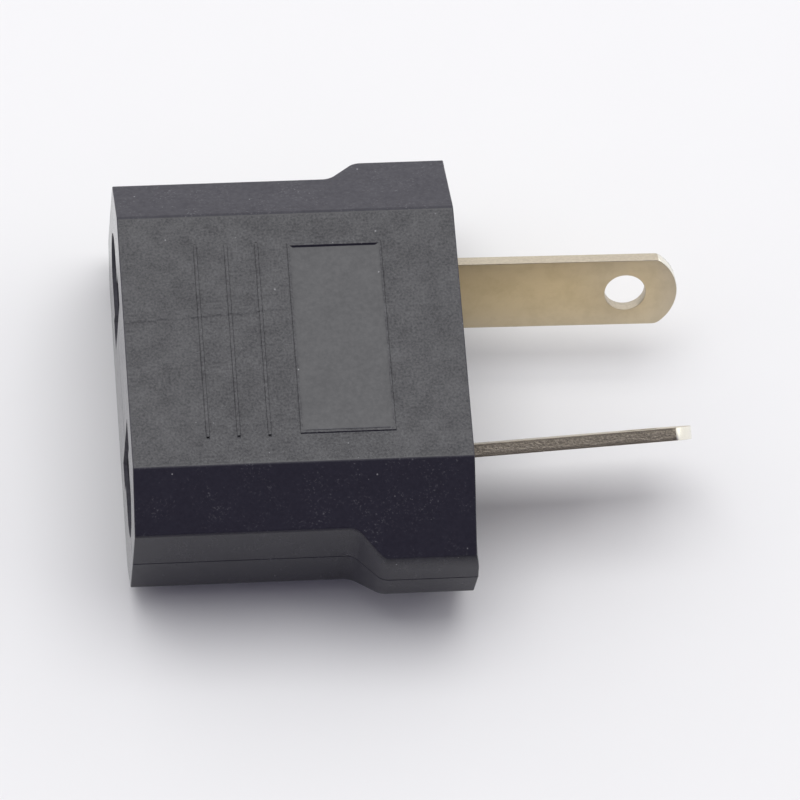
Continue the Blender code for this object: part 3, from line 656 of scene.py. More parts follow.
def half_section(casing, upward, inset):
    """Cross-section of the half above or below the parting plane, drawn in by an inset."""
    if upward:
        rise = casing.thickness - casing.parting_height
        slope, flat = casing.upper_slope, casing.top_flat_width
    else:
        rise = casing.parting_height
        slope, flat = casing.lower_slope, casing.bottom_flat_width
    return HalfSection(upward, rise - inset, slope, flat / 2 - inset * math.tan(slope / 2))


def wall_columns(casing, line, section, first, outer):
    """Points up one long side of a half, for each place along it: seam, side and shoulder.

    The inside of a wall has plain corners. Outside, the side leans in and the shoulder is rounded, most of
    all on the upper flange, and the flange face bows out towards the seam.
    """
    fall = math.tan(section.slope)
    lean = math.tan(casing.side_draft) if outer else 0.0
    turns = [i / SHOULDER_STEPS for i in range(SHOULDER_STEPS + 1)]
    for point, move in zip(line, path_mitres(line)):
        height = (section.rise - fall * (point.y - section.flat_half)) / (1.0 - fall * move.y * lean)

        def on_side(level):
            place = point - move * lean * level
            return Vector((place.x, place.y, level))

        peak = on_side(height)
        if not outer:
            yield [on_side(first), peak]
            continue
        widening = (2 * point.y - casing.narrow_width) / (casing.flange_width - casing.narrow_width)
        widening = widening if section.upward else 0.0
        drop = casing.shoulder_drop + widening * (casing.flange_drop - casing.shoulder_drop)
        run = casing.shoulder_run + widening * (casing.flange_run - casing.shoulder_run)
        below, above = on_side(height - drop), peak + Vector((0.0, -run, fall * run))
        column = [on_side(first)] + [below.lerp(peak, t).lerp(peak.lerp(above, t), t) for t in turns]
        if point is line[-1]:
            loss = UPPER_BOW_LOSS if section.upward else LOWER_BOW_LOSS
            for corner in column:
                corner.x += casing.flange_bow * (1.0 - loss * (corner.z / above.z) ** 2)
        yield column


def half_form(casing, upward, inset=0.0, start_inset=0.0, end_inset=0.0, first=0.0, outer=False):
    """One half of the casing's form, above or below the parting plane, drawn in by the insets.

    first is the height from the parting plane at which the solid starts. An outer form has rounded steps and
    shoulders, draft and a bowed flange face.
    """
    section = half_section(casing, upward, inset)
    direction = 1.0 if upward else -1.0
    line = plan_side(casing, inset, start_inset, end_inset, outer)
    solid = bmesh.new()

    def corner(run, out, height):
        return solid.verts.new((LOWER_LOW.x + run, out, casing.parting_height + direction * height))

    def add_band(low, high):
        for i in range(len(low) - 1):
            solid.faces.new((low[i], low[i + 1], high[i + 1], high[i]))

    rows, crest = {}, {}
    for side in (1.0, -1.0):
        columns = [
            [corner(p.x, side * p.y, p.z) for p in column]
            for column in wall_columns(casing, line, section, first, outer)
        ]
        rows[side] = [list(row) for row in zip(*columns)]
        crest[side] = [corner(line[i].x, side * section.flat_half, section.rise) for i in (0, -1)]
        for low, high in zip(rows[side], rows[side][1:]):
            add_band(low, high)
        solid.faces.new(rows[side][-1] + crest[side][::-1])
    solid.faces.new(rows[1.0][0] + rows[-1.0][0][::-1])
    solid.faces.new(crest[1.0] + crest[-1.0][::-1])
    for i in (0, -1):
        left, right = ([row[i] for row in rows[side]] + [crest[side][i]] for side in (1.0, -1.0))
        add_band(left, right)
    return solid


def outer_form(casing, upward):
    """Outside of one shell, with rounded edges and a broken edge along the seam."""
    first = casing.seam_gap / 2
    solid = half_form(casing, upward, first=first, outer=True)
    seam_height = casing.parting_height + (first if upward else -first)
    crest_height = casing.thickness if upward else 0.0

    def on_seam(edge):
        return all(abs(v.co.z - seam_height) < first / 2 for v in edge.verts)

    def on_end(edge):
        runs = [v.co.x - LOWER_LOW.x for v in edge.verts]
        return max(runs) < first or min(runs) > casing.body_length - first

    def on_crest(edge):
        return not on_end(edge) and all(abs(v.co.z - crest_height) < first for v in edge.verts)

    def on_far_crest(edge):
        return upward and on_crest(edge) and all(v.co.y > 0.0 for v in edge.verts)

    soften(solid, casing.far_edge_width, EDGE_SEGMENTS, on_far_crest)
    soften(solid, casing.edge_width, EDGE_SEGMENTS, on_crest)
    soften(solid, casing.end_edge_width, EDGE_SEGMENTS, lambda edge: on_end(edge) and not on_seam(edge))
    soften(solid, casing.seam_chamfer, CHAMFER_SEGMENTS, on_seam)
    return solid


def seam_prism(casing, inset, low, high):
    """Prism that follows the casing's plan, drawn in evenly from the inner faces of its walls."""
    reach = SIDE_WALL - inset
    line = plan_side(casing, inset, SOCKET_WALL - reach, BLADE_WALL - reach, False)
    outline = [tuple(p) for p in line] + [(p.x, -p.y) for p in reversed(line)]
    return extrude_outline(outline, low, high, plan_place(1.0))


def upright_cylinder(run, diameter, low, high):
    """Round post on the casing's middle plane."""
    return extrude_outline(circle((run, 0.0), diameter), low, high, plan_place(1.0))


def hole_outline(socket):
    """Slot for a flat pin, joined to a round-ended hole for a round pin, seen from the socket end."""
    middle = socket.contact_height
    slot_in = socket.flat_pitch / 2 - socket.slot_width / 2
    slot_out = slot_in + socket.slot_width
    slot_half = socket.slot_height / 2
    radius = socket.hole_height / 2
    centre = (socket.round_pitch / 2 + socket.hole_reach - radius, middle)
    return (
        [(slot_in, middle - slot_half), (slot_out, middle - slot_half), (slot_out, middle - radius)]
        + arc(centre, radius, -math.pi / 2, math.pi / 2, 2 * ARC_STEPS)
        + [(slot_out, middle + radius), (slot_out, middle + slot_half), (slot_in, middle + slot_half)]
    )


def socket_cuts(socket):
    """Both holes through the socket wall, with their chamfered lead-ins."""
    outline = hole_outline(socket)
    flared = grow_outline(outline, socket.lead_in + OVERCUT)
    for _, side in SIDES:
        place = end_place(side)
        yield extrude_outline(outline, -OVERCUT, SOCKET_WALL + OVERCUT, place)
        mouth = [place(a, b, -OVERCUT) for a, b in flared]
        throat = [place(a, b, socket.lead_in) for a, b in outline]
        yield loft([mouth, throat])


def clip_span(casing, contact):
    """Front and rear of a clip base, measured from the socket face."""
    rear = casing.body_length - BLADE_WALL - contact.clip_setback
    return rear - contact.clip_thickness, rear


def blade_cuts(casing, socket, blade, contact):
    """Slots for the blades in the flange wall and seats for the clip bases."""
    cavity_end = casing.body_length - BLADE_WALL
    front, rear = clip_span(casing, contact)
    cradle_middle = cradle_centre(socket, blade, contact)
    for _, side in SIDES:
        half_width = blade.width / 2 + blade.slot_gap
        half_thickness = blade.thickness / 2 + blade.slot_gap
        slot = rectangle(cavity_end - OVERCUT, casing.body_length + OVERCUT, -half_width, half_width)
        yield extrude_outline(slot, -half_thickness, half_thickness, blade_place(blade, socket, side))
        half_seat = contact.clip_height / 2 + FIT_GAP
        clip_seat = rectangle(
            cradle_middle - CRADLE_WIDTH, cradle_middle + CRADLE_WIDTH,
            socket.contact_height - half_seat, socket.contact_height + half_seat,
        )
        yield extrude_outline(clip_seat, front - FIT_GAP, rear + FIT_GAP, end_place(side))


def cradle_centre(socket, blade, contact):
    """Distance from the middle to the cradles, halfway between the leaf's root and the outer jaw."""
    return (leaf_root(blade, contact) + outer_jaw(socket, contact)) / 2


def cradles(casing, socket, blade, contact, upward):
    """Blocks against the blade wall whose slots take the edges of the clip bases."""
    front, _ = clip_span(casing, contact)
    centre = cradle_centre(socket, blade, contact)
    half_clip = contact.clip_height / 2 - CRADLE_GRIP
    if upward:
        low, high = socket.contact_height + half_clip, casing.thickness - SIDE_WALL + SUNK
    else:
        low, high = SIDE_WALL - SUNK, socket.contact_height - half_clip
    outline = rectangle(
        front - FIT_GAP - CRADLE_WALL, casing.body_length - BLADE_WALL + SUNK,
        centre - CRADLE_WIDTH / 2, centre + CRADLE_WIDTH / 2,
    )
    for _, side in SIDES:
        yield extrude_outline(outline, low, high, plan_place(side))


def lower_inside(casing, socket, blade, contact):
    """Steps that give the lower shell its lip, hollow, barrier, pegs and cradles."""
    post_top = casing.parting_height - casing.seam_gap / 2
    lip_top = casing.parting_height + LIP_HEIGHT
    yield "UNION", seam_prism(casing, SIDE_WALL - LIP_THICKNESS, casing.parting_height - OVERCUT, lip_top)
    yield "DIFFERENCE", half_form(casing, False, SIDE_WALL, SOCKET_WALL, BLADE_WALL, -LIP_HEIGHT - OVERCUT)
    half_barrier = BARRIER_THICKNESS / 2
    barrier = rectangle(
        SOCKET_WALL - SUNK, casing.body_length - BLADE_WALL + SUNK, -half_barrier, half_barrier
    )
    yield "UNION", extrude_outline(barrier, SIDE_WALL - SUNK, post_top - SUNK, plan_place(1.0))
    for run in PEG_PLACES:
        yield "UNION", upright_cylinder(run, POST_DIAMETER, SIDE_WALL - SUNK, post_top)
        yield "UNION", upright_cylinder(run, PEG_DIAMETER, post_top - SUNK, post_top + PEG_HEIGHT)
    for block in cradles(casing, socket, blade, contact, False):
        yield "UNION", block


def upper_inside(casing, socket, blade, contact):
    """Steps that give the upper shell its rebate, hollow, peg bosses and cradles."""
    rebate_top = casing.parting_height + LIP_HEIGHT + LIP_GAP
    rebate_inset = SIDE_WALL - LIP_THICKNESS - LIP_GAP
    yield "DIFFERENCE", seam_prism(casing, rebate_inset, casing.parting_height - OVERCUT, rebate_top)
    yield "DIFFERENCE", half_form(casing, True, SIDE_WALL, SOCKET_WALL, BLADE_WALL, -OVERCUT)
    post_top = casing.parting_height - casing.seam_gap / 2
    bore = PEG_DIAMETER + 2 * PEG_GAP
    ceiling = casing.thickness - SIDE_WALL
    for run in PEG_PLACES:
        yield "UNION", upright_cylinder(run, bore + 2 * BOSS_WALL, post_top + FIT_GAP, ceiling + SUNK)
        yield "DIFFERENCE", upright_cylinder(run, bore, post_top - OVERCUT, post_top + PEG_HEIGHT + FIT_GAP)
    for block in cradles(casing, socket, blade, contact, True):
        yield "UNION", block


def rib(casing, top, run):
    """Low flat-topped ridge across the top face, with steep flanks and round ends."""
    half = top.rib_width / 2
    rings = []
    for inset, height in ((0.0, -SUNK), (0.0, 0.0), (top.rib_flank, top.rib_height)):
        radius = half - inset
        straight = top.rib_length / 2 - half
        ends = arc((run, straight), radius, 0.0, math.pi, ARC_STEPS)
        ends += arc((run, -straight), radius, math.pi, 2 * math.pi, ARC_STEPS)
        rings.append([(LOWER_LOW.x + a, b - top.offset, casing.thickness + height) for a, b in ends])
    return loft(rings)


def label_ring(casing, top, run_inset, width_inset, height):
    """Corners of the label panel, drawn in from the outer edge of its rim, at a height above the top face."""
    half_run = top.label_run / 2 - run_inset
    half_width = top.label_width / 2 - width_inset
    corners = rectangle(-half_run, half_run, -half_width, half_width)
    run, out = LOWER_LOW.x + top.label_centre, -top.offset
    return [(run + a, out + b, casing.thickness + height) for a, b in corners]


def top_details(casing, top):
    """Steps that give the top face its ribs, the pits at their ends and the rimmed label panel."""
    surface = casing.thickness
    for i in range(top.rib_count):
        run = top.rib_first + i * top.rib_pitch
        yield "UNION", rib(casing, top, run)
        for side, depth in ((1.0, top.left_pit_depth), (-1.0, top.right_pit_depth)):
            pit = circle((run, side * top.rib_length / 2 - top.offset), top.pit_diameter)
            yield "DIFFERENCE", extrude_outline(pit, surface - depth, surface + OVERCUT, plan_place(1.0))
    width, flank, wall, crest = top.rim_width, top.rim_flank, top.wall_slant, top.rim_height
    rim = ((0.0, 0.0, -SUNK), (0.0, 0.0, 0.0), (flank, flank, crest))
    recess = (
        (width + top.end_slant, width + wall, -top.label_depth),
        (width, width, crest),
        (width, width, OVERCUT),
    )
    for operation, rings in (("UNION", rim), ("DIFFERENCE", recess)):
        yield operation, loft([label_ring(casing, top, *ring) for ring in rings])


# Contact forms


def inner_jaw(socket, contact):
    """Distance from the middle to the inner jaw's working face."""
    return socket.flat_pitch / 2 - socket.flat_pin_thickness / 2 - contact.jaw_gap


def outer_jaw(socket, contact):
    """Distance from the middle to the outer jaw's working face."""
    return socket.round_pitch / 2 + socket.round_pin_diameter / 2 + contact.jaw_gap


def leaf_root(blade, contact):
    """Distance from the middle to the straight root of a leaf, clear of the blade's staked head."""
    tilt = max(blade.left_tilt, blade.right_tilt)
    head_reach = blade.head_width * math.sin(tilt) + blade.head_thickness * math.cos(tilt)
    return blade.pitch / 2 + head_reach / 2 + contact.head_gap


def leaf_foot_run(casing, contact):
    """Run of the middle of a leaf's foot, which lies against the clip base."""
    return clip_span(casing, contact)[0] - FIT_GAP - contact.leaf_thickness / 2


def rivet_centre(blade, contact):
    """Distance from the middle to a rivet, in the middle of the leaf's foot."""
    root = leaf_root(blade, contact)
    return (root + contact.leaf_bend + root + contact.foot_length) / 2


def clip_path(casing, socket, contact):
    """Middle line of a clip in plan: inner jaw, base and outer jaw, with flared mouths."""
    front, rear = clip_span(casing, contact)
    base = (front + rear) / 2
    inner = inner_jaw(socket, contact) - contact.clip_thickness / 2
    outer = outer_jaw(socket, contact) + contact.clip_thickness / 2
    jog = base - contact.jog_start
    mouth = contact.jaw_front + contact.flare_run
    corners = [
        (contact.jaw_front, inner - contact.flare), (mouth, inner), (jog - contact.jog_run, inner),
        (jog, inner - contact.jog), (base, inner - contact.jog), (base, outer), (mouth, outer),
        (contact.jaw_front, outer + contact.flare),
    ]
    return round_corners(corners, contact.clip_bend)


def leaf_path(casing, socket, blade, contact):
    """Middle line of a leaf in plan: foot, root, bump for round pins, bump for flat pins and front end."""
    half = contact.leaf_thickness / 2
    root = leaf_root(blade, contact)
    foot = leaf_foot_run(casing, contact)
    round_edge = socket.round_pitch / 2 - socket.round_pin_diameter / 2
    flat_edge = socket.flat_pitch / 2 + socket.flat_pin_thickness / 2
    round_bump = round_edge + contact.round_bite - half
    flat_bump = flat_edge - contact.flat_bite + half
    corners = [
        (foot, root + contact.foot_length), (foot, root), (foot - contact.root_run - contact.leaf_bend, root),
        (socket.round_pin_length + contact.slant_gap, round_bump), (contact.round_bump, round_bump),
        (contact.flat_bump, flat_bump),
        (contact.leaf_front, socket.flat_pitch / 2 + contact.leaf_front_offset),
    ]
    return round_corners(corners, contact.leaf_bend)


def strip(path, thickness, height, middle, side):
    """Upright strip that follows a path in plan."""
    outline = strip_outline(path, thickness)
    return extrude_outline(outline, middle - height / 2, middle + height / 2, plan_place(side))


def rivet_bore(blade, socket, contact, side, diameter, low, high):
    """Cylinder along the rivet's axis."""
    centre = (rivet_centre(blade, contact), socket.contact_height)
    return extrude_outline(circle(centre, diameter), low, high, end_place(side))


def turned_rivet(casing, socket, blade, contact, side):
    """Rivet with a domed head on the leaf's foot and another behind the clip base."""
    front = leaf_foot_run(casing, contact) - contact.leaf_thickness / 2 - FIT_GAP
    rear = clip_span(casing, contact)[1] + RIVET_GAP
    shank, head, height = contact.rivet_diameter, contact.rivet_head, contact.rivet_head_height
    dome = [math.pi / 2 * i / ARC_STEPS for i in range(1, ARC_STEPS + 1)]
    profile = [(front - height * math.cos(t), head * math.sin(t)) for t in dome]
    profile += [(front, shank), (rear, shank)]
    profile += [(rear + height * math.cos(t), head * math.sin(t)) for t in dome[::-1]]
    centre = (rivet_centre(blade, contact), socket.contact_height)
    place = end_place(side)
    return loft([[place(a, b, run) for a, b in circle(centre, diameter)] for run, diameter in profile])


# Blade forms


def blade_outline(casing, blade, contact):
    """Blade in its own plane: shoulders, parallel edges and a bowed tip with rounded corners."""
    half = blade.width / 2
    front, rear = clip_span(casing, contact)
    shoulder = rear + RIVET_GAP
    tang = blade.tang_width / 2
    tang_end = front - RIVET_GAP - blade.head_length / 2
    bow_centre = casing.body_length + blade.reach - blade.tip_radius
    corner_out = half - blade.tip_corner
    corner_ahead = math.sqrt((blade.tip_radius - blade.tip_corner) ** 2 - corner_out**2)
    spread = math.atan2(corner_out, corner_ahead)
    corner_run = bow_centre + corner_ahead
    return (
        [(shoulder, -half)]
        + arc((corner_run, -corner_out), blade.tip_corner, -math.pi / 2, -spread, ARC_STEPS)[:-1]
        + arc((bow_centre, 0.0), blade.tip_radius, -spread, spread, 2 * ARC_STEPS)
        + arc((corner_run, corner_out), blade.tip_corner, spread, math.pi / 2, ARC_STEPS)[1:]
        + [(shoulder, half), (shoulder, tang), (tang_end, tang), (tang_end, -tang), (shoulder, -tang)]
    )


def lean_of(casing, blade, socket, side):
    """Middle of the bend at a blade's root and the turn of its exposed part towards the middle."""
    place = blade_place(blade, socket, side)
    bend = casing.body_length + blade.toe_start
    pivot = place(bend, 0.0, 0.0)
    toe_in = blade.left_toe_in if side > 0.0 else blade.right_toe_in
    return pivot, Matrix.Rotation(-side * toe_in, 3, place(bend, 1.0, 0.0) - pivot)


def lean_in(piece, pivot, turn):
    """Bend the exposed part of a blade about a line across its root."""
    with edited(piece) as solid:
        geometry = solid.verts[:] + solid.edges[:] + solid.faces[:]
        bmesh.ops.bisect_plane(solid, geom=geometry, plane_co=pivot, plane_no=(1.0, 0.0, 0.0))
        outside = [v for v in solid.verts if v.co.x > pivot.x]
        bmesh.ops.rotate(solid, cent=pivot, matrix=turn, verts=outside)


def shape_blade(name, casing, socket, blade, contact, side):
    """Flat plug blade with a hole near its tip and a staked head on its tang."""
    place = blade_place(blade, socket, side)
    half = blade.thickness / 2
    piece = add_object(name, extrude_outline(blade_outline(casing, blade, contact), -half, half, place))
    head_rear = clip_span(casing, contact)[0] - RIVET_GAP
    half_head = blade.head_width / 2
    head = rectangle(head_rear - blade.head_length, head_rear, -half_head, half_head)
    hole = circle((casing.body_length + blade.reach - blade.hole_setback, 0.0), blade.hole_diameter)
    carve(piece, [
        ("UNION", extrude_outline(head, -blade.head_thickness / 2, blade.head_thickness / 2, place)),
        ("DIFFERENCE", extrude_outline(hole, -OVERCUT, OVERCUT, place)),
    ])
    soften_metal(piece, blade.edge_width)
    lean_in(piece, *lean_of(casing, blade, socket, side))
    return piece


# Finishes


def feed(tree, node, inputs):
    """Set a node's inputs, each to a constant or to another node's output."""
    for name, value in inputs.items():
        if isinstance(value, bpy.types.NodeSocket):
            tree.links.new(value, node.inputs[name])
        else:
            node.inputs[name].default_value = value


def add_node(tree, kind, inputs=None, **settings):
    """Node with its settings and its inputs."""
    node = tree.nodes.new(kind)
    for name, value in settings.items():
        setattr(node, name, value)
    feed(tree, node, inputs or {})
    return node


def new_finish(name, constants):
    """Material with its tree, its shader with constant inputs set, and the place on the piece in metres."""
    finish = bpy.data.materials.new(name)
    finish.use_nodes = True
    tree = finish.node_tree
    shader = tree.nodes["Principled BSDF"]
    feed(tree, shader, constants)
    place = add_node(tree, "ShaderNodeTexCoord").outputs["Object"]
    return finish, tree, shader, place


def axes_of(tree, vector):
    """Outputs X, Y and Z of a vector."""
    return add_node(tree, "ShaderNodeSeparateXYZ", {"Vector": vector}).outputs


def noise(tree, place, grain, detail=2.0, roughness=0.5):
    """Noise of a grain size in metres."""
    inputs = {"Vector": place, "Scale": 1.0 / grain, "Detail": detail, "Roughness": roughness}
    return add_node(tree, "ShaderNodeTexNoise", inputs).outputs["Fac"]


def remap(tree, value, source, target=RISING):
    """Value moved from one range to another and clamped there."""
    ends = zip(("From Min", "From Max", "To Min", "To Max"), (*source, *target))
    return add_node(tree, "ShaderNodeMapRange", {"Value": value, **dict(ends)}).outputs["Result"]


def combine(tree, operation, *values):
    """Arithmetic on values."""
    return add_node(tree, "ShaderNodeMath", dict(enumerate(values)), operation=operation).outputs["Value"]


def blend_colours(tree, share, first, second):
    """Colour between two others, each a constant or another node's output."""
    inputs = {MIX_SHARE: share}
    for socket, value in zip(MIX_COLOURS, (first, second)):
        inputs[socket] = value if isinstance(value, bpy.types.NodeSocket) else (*value, 1.0)
    return add_node(tree, "ShaderNodeMix", inputs, data_type="RGBA").outputs[MIX_RESULT]


def bump(tree, height, depth):
    """Normal on a fine relief of a depth in metres."""
    inputs = {"Strength": 1.0, "Distance": depth, "Height": height}
    return add_node(tree, "ShaderNodeBump", inputs).outputs["Normal"]


def shaded(tone, share):
    """Colour darkened or brightened to a share of itself."""
    return tuple(channel * share for channel in tone)


def stretched(tree, place, along, across):
    """Place drawn out along the plug axis, in units of the two grain sizes."""
    scale = (1.0 / along, 1.0 / across, 1.0 / across)
    return add_node(tree, "ShaderNodeMapping", {"Vector": place, "Scale": scale}).outputs["Vector"]


def dust_specks(tree, place, share):
    """Share of dust on a surface: specks of mixed size and strength around scattered points."""
    cells = add_node(tree, "ShaderNodeTexVoronoi", {"Vector": place, "Scale": 1.0 / SPECK_SPACING}).outputs
    draws = add_node(tree, "ShaderNodeSeparateColor", {"Color": cells["Color"]}).outputs
    reach = combine(tree, "DIVIDE", cells["Distance"], remap(tree, draws["Green"], RISING, SPECK_SIZES))
    radius = SPECK_RADIUS / SPECK_SPACING
    near = remap(tree, reach, (SPECK_CORE * radius, radius), FALLING)
    chosen = combine(tree, "LESS_THAN", draws["Red"], share)
    strength = combine(tree, "MULTIPLY", chosen, remap(tree, draws["Blue"], RISING, SPECK_STRENGTHS))
    return combine(tree, "MULTIPLY", near, strength)


def scuffs(tree, place, grain):
    """Share of fine pale scuffs, gathered in patches."""
    patches = remap(tree, noise(tree, place, SCUFF_PATCH, detail=3.0, roughness=0.6), SCUFF_PATCHES)
    marks = remap(tree, noise(tree, place, SCUFF_GRAINS * grain, detail=3.0, roughness=0.75), SCUFF_MARKS)
    return combine(tree, "MULTIPLY", patches, marks)


def flow_mark(tree, place):
    """Faint line where two fronts of molten plastic met, across the socket half of the top face."""
    axes = axes_of(tree, place)
    drift = noise(tree, place, FLOW_MARK_GRAIN, detail=4.0, roughness=0.7)
    wander = combine(tree, "MULTIPLY", drift, FLOW_MARK_WANDER)
    course = combine(tree, "MULTIPLY_ADD", axes["X"], FLOW_MARK_SLOPE, FLOW_MARK_PLACE)
    aside = combine(tree, "SUBTRACT", combine(tree, "SUBTRACT", axes["Y"], course), wander)
    band = remap(tree, combine(tree, "ABSOLUTE", aside), FLOW_MARK_BORDER, FALLING)
    return combine(tree, "MULTIPLY", band, remap(tree, axes["X"], FLOW_MARK_FADE, FALLING))


def moulded_plastic(name, colours, tones, grain, depth, rough, dusty, scuffed=0.0, marked=False, gloss=0.5):
    """Black moulded plastic with paler grains and clouds in its colour, scuffs and a few dust specks."""
    finish, tree, shader, place = new_finish(name, {"Specular IOR Level": gloss})
    size = grain * colours.spark_grain
    fine = noise(tree, place, size, detail=3.0, roughness=0.7)
    clouds = noise(tree, place, CLOUD_GRAINS * size, detail=4.0, roughness=0.7)
    relief = combine(tree, "ADD", fine, combine(tree, "MULTIPLY", clouds, CLOUD_SHARE))
    tone = remap(tree, relief, PALE_GRAINS)
    if marked:
        mark = flow_mark(tree, place)
        tone = combine(tree, "SUBTRACT", tone, combine(tree, "MULTIPLY", mark, FLOW_MARK_TONE))
        relief = combine(tree, "SUBTRACT", relief, combine(tree, "MULTIPLY", mark, FLOW_MARK_DEPTH))
    specks = dust_specks(tree, place, dusty)
    if scuffed:
        marks = combine(tree, "MULTIPLY", scuffs(tree, place, size), scuffed)
        specks = combine(tree, "MAXIMUM", specks, marks)
    plain = blend_colours(tree, tone, getattr(colours, tones), getattr(colours, f"{tones}_pale"))
    feed(tree, shader, {
        "Base Color": blend_colours(tree, specks, plain, colours.dust),
        "Roughness": remap(tree, tone, RISING, rough),
        "Normal": bump(tree, relief, depth * colours.spark_depth),
    })
    return finish


def rolled_metal(name, pale, stained, rough, root_shade_span=None):
    """Rolled strip with faint lines and stained patches, and along a span painted shade at its root end that
    gives way to brighter metal at its far end.
    """
    finish, tree, shader, place = new_finish(name, {"Metallic": 1.0})
    lines = noise(tree, stretched(tree, place, *ROLL_LINE), 1.0, detail=2.0, roughness=0.6)
    stain = remap(tree, noise(tree, place, STAIN_PATCH, detail=4.0, roughness=0.65), STAIN_PATCHES)
    tones = (pale, stained)
    if root_shade_span:
        # Painted shade at the root end of the span, giving way to brighter metal towards its far end
        root_shade = remap(tree, axes_of(tree, place)["X"], root_shade_span)
        tones = [blend_colours(tree, root_shade, *(shaded(tone, share) for share in ROOT_SHADE_SHARES)) for tone in tones]
    feed(tree, shader, {
        "Base Color": blend_colours(tree, stain, *tones),
        "Roughness": remap(tree, lines, NOISE_RANGE, rough),
        "Normal": bump(tree, lines, ROLL_DEPTH),
    })
    return finish


def even_metal(name, tone, stain, rough):
    """Rolled metal of one tone, with a share of it in the stained patches."""
    return rolled_metal(name, tone, shaded(tone, stain), rough)


def tear_and_shade_share(tree, place, grains, share, pivot, across):
    """Share of bright grains on a ragged sheared edge: fewer along its borders, as painted shade, and more on
    a wandering burr.
    """
    inputs = {0: place, 1: across}
    reach = add_node(tree, "ShaderNodeVectorMath", inputs, operation="DOT_PRODUCT").outputs["Value"]
    aside = combine(tree, "SUBTRACT", reach, pivot.dot(across))
    off_middle = combine(tree, "ABSOLUTE", combine(tree, "ADD", aside, TEAR_SHADE_OFFSET))
    border = remap(tree, off_middle, TEAR_SHADE_BORDER, TEAR_PAINTED_SHADE)
    wander = combine(tree, "MULTIPLY", noise(tree, place, BURR_GRAIN, detail=3.0, roughness=0.6), BURR_WANDER)
    course = combine(tree, "ADD", combine(tree, "SUBTRACT", wander, BURR_PLACE), aside)
    burr = remap(tree, combine(tree, "ABSOLUTE", course), BURR_BORDER, BURR_SHADE)
    burr = combine(tree, "MULTIPLY", burr, remap(tree, grains, BURR_GRAINS, BURR_STRENGTHS))
    return combine(tree, "MAXIMUM", combine(tree, "MULTIPLY", share, border), burr)


def sheared_metal(name, colours, grain, bright, depth, tear_and_shade=None):
    """Sheared edge, which may be ragged with painted shade along its borders: the last argument is then a
    point on it and the direction across it.
    """
    finish, tree, shader, place = new_finish(name, {"Metallic": 1.0})
    grains = noise(tree, stretched(tree, place, *grain), 1.0, detail=4.0, roughness=0.7)
    share = remap(tree, grains, SHEARED_GRAINS, bright)
    if tear_and_shade:
        share = tear_and_shade_share(tree, place, grains, share, *tear_and_shade)
    feed(tree, shader, {
        "Base Color": blend_colours(tree, share, colours.sheared_dark_and_shade, colours.sheared_pale),
        "Roughness": remap(tree, grains, NOISE_RANGE, SHEARED_ROUGH),
        "Normal": bump(tree, grains, depth),
    })
    return finish


def floor_finish(tone):
    """Pale matt table top with a faint mottle."""
    finish, tree, shader, place = new_finish("pale floor", {"Roughness": 0.6, "Specular IOR Level": 0.3})
    mottle = noise(tree, place, FLOOR_MOTTLE, detail=3.0, roughness=0.6)
    feed(tree, shader, {"Base Color": blend_colours(tree, mottle, shaded(tone, FLOOR_SHADE), tone)})
    return finish


# Operators


def shared_settings(context):
    """Settings that the pieces share: casing, socket, blade, contact and finish."""
    groups = ("casing", "socket", "blade", "contact", "finish")
    return [getattr(context.scene, f"adapter_{group}") for group in groups]


class BuildCasing(bpy.types.Operator):
    """Shape the two moulded shells and give them their grain"""

    bl_idname = "adapter.build_casing"
    bl_label = "Build casing"

    def execute(self, context):
        casing, socket, blade, contact, colours = shared_settings(context)
        top = context.scene.adapter_top
        finishes = {
            name: moulded_plastic(f"{name} plastic", colours, **recipe) for name, recipe in PLASTICS.items()
        }
        for name, upward, inside in (("lower", False, lower_inside), ("upper", True, upper_inside)):
            piece = add_object(f"{name}_casing", outer_form(casing, upward))
            steps = list(inside(casing, socket, blade, contact))
            if upward:
                steps += top_details(casing, top)
            cuts = [*socket_cuts(socket), *blade_cuts(casing, socket, blade, contact)]
            carve(piece, steps + [("DIFFERENCE", cut) for cut in cuts])
            dress(piece, finishes, lambda face: self.finish_of(face, casing, top, socket))
            seat(piece, CASING_BODY, f"{name}_shell")
        return {"FINISHED"}

    @staticmethod
    def finish_of(face, casing, top, socket):
        """Name of a face's finish: panel, polished ends, raw holes, smooth sides, spark texture or satin."""
        normal, centre = face.normal, face.center
        level = abs(normal.z) > LEVEL
        below_top = casing.thickness - centre.z
        if level and normal.z > 0.0 and abs(below_top - top.label_depth) < top.label_depth / 2:
            return "panel"
        from_socket = centre.x - LOWER_LOW.x
        from_ends = min(from_socket, casing.body_length - from_socket)
        if abs(normal.x) > END_ON and from_ends < ON_END:
            return "polished"
        in_hole_width = abs(centre.y) < socket.round_pitch / 2 + socket.hole_reach + socket.lead_in
        in_hole_height = abs(centre.z - socket.contact_height) < socket.slot_height / 2 + socket.lead_in
        if in_hole_width and in_hole_height and from_socket < SOCKET_WALL + OVERCUT:
            return "raw"
        if abs(normal.z) < UPRIGHT and abs(centre.y) > casing.narrow_width / 2 - SIDE_WALL / 2:
            return "smooth"
        on_skin = below_top < top.label_depth / 2 or centre.z < top.label_depth
        lengthwise = abs(normal.y) < LENGTHWISE and from_ends > casing.edge_width
        if lengthwise and on_skin and normal.z > GENTLE_SLANT:
            return "spark" if level else "panel"
        return "spark" if on_skin and (level or lengthwise and normal.z > STEEP_SLANT) else "satin"


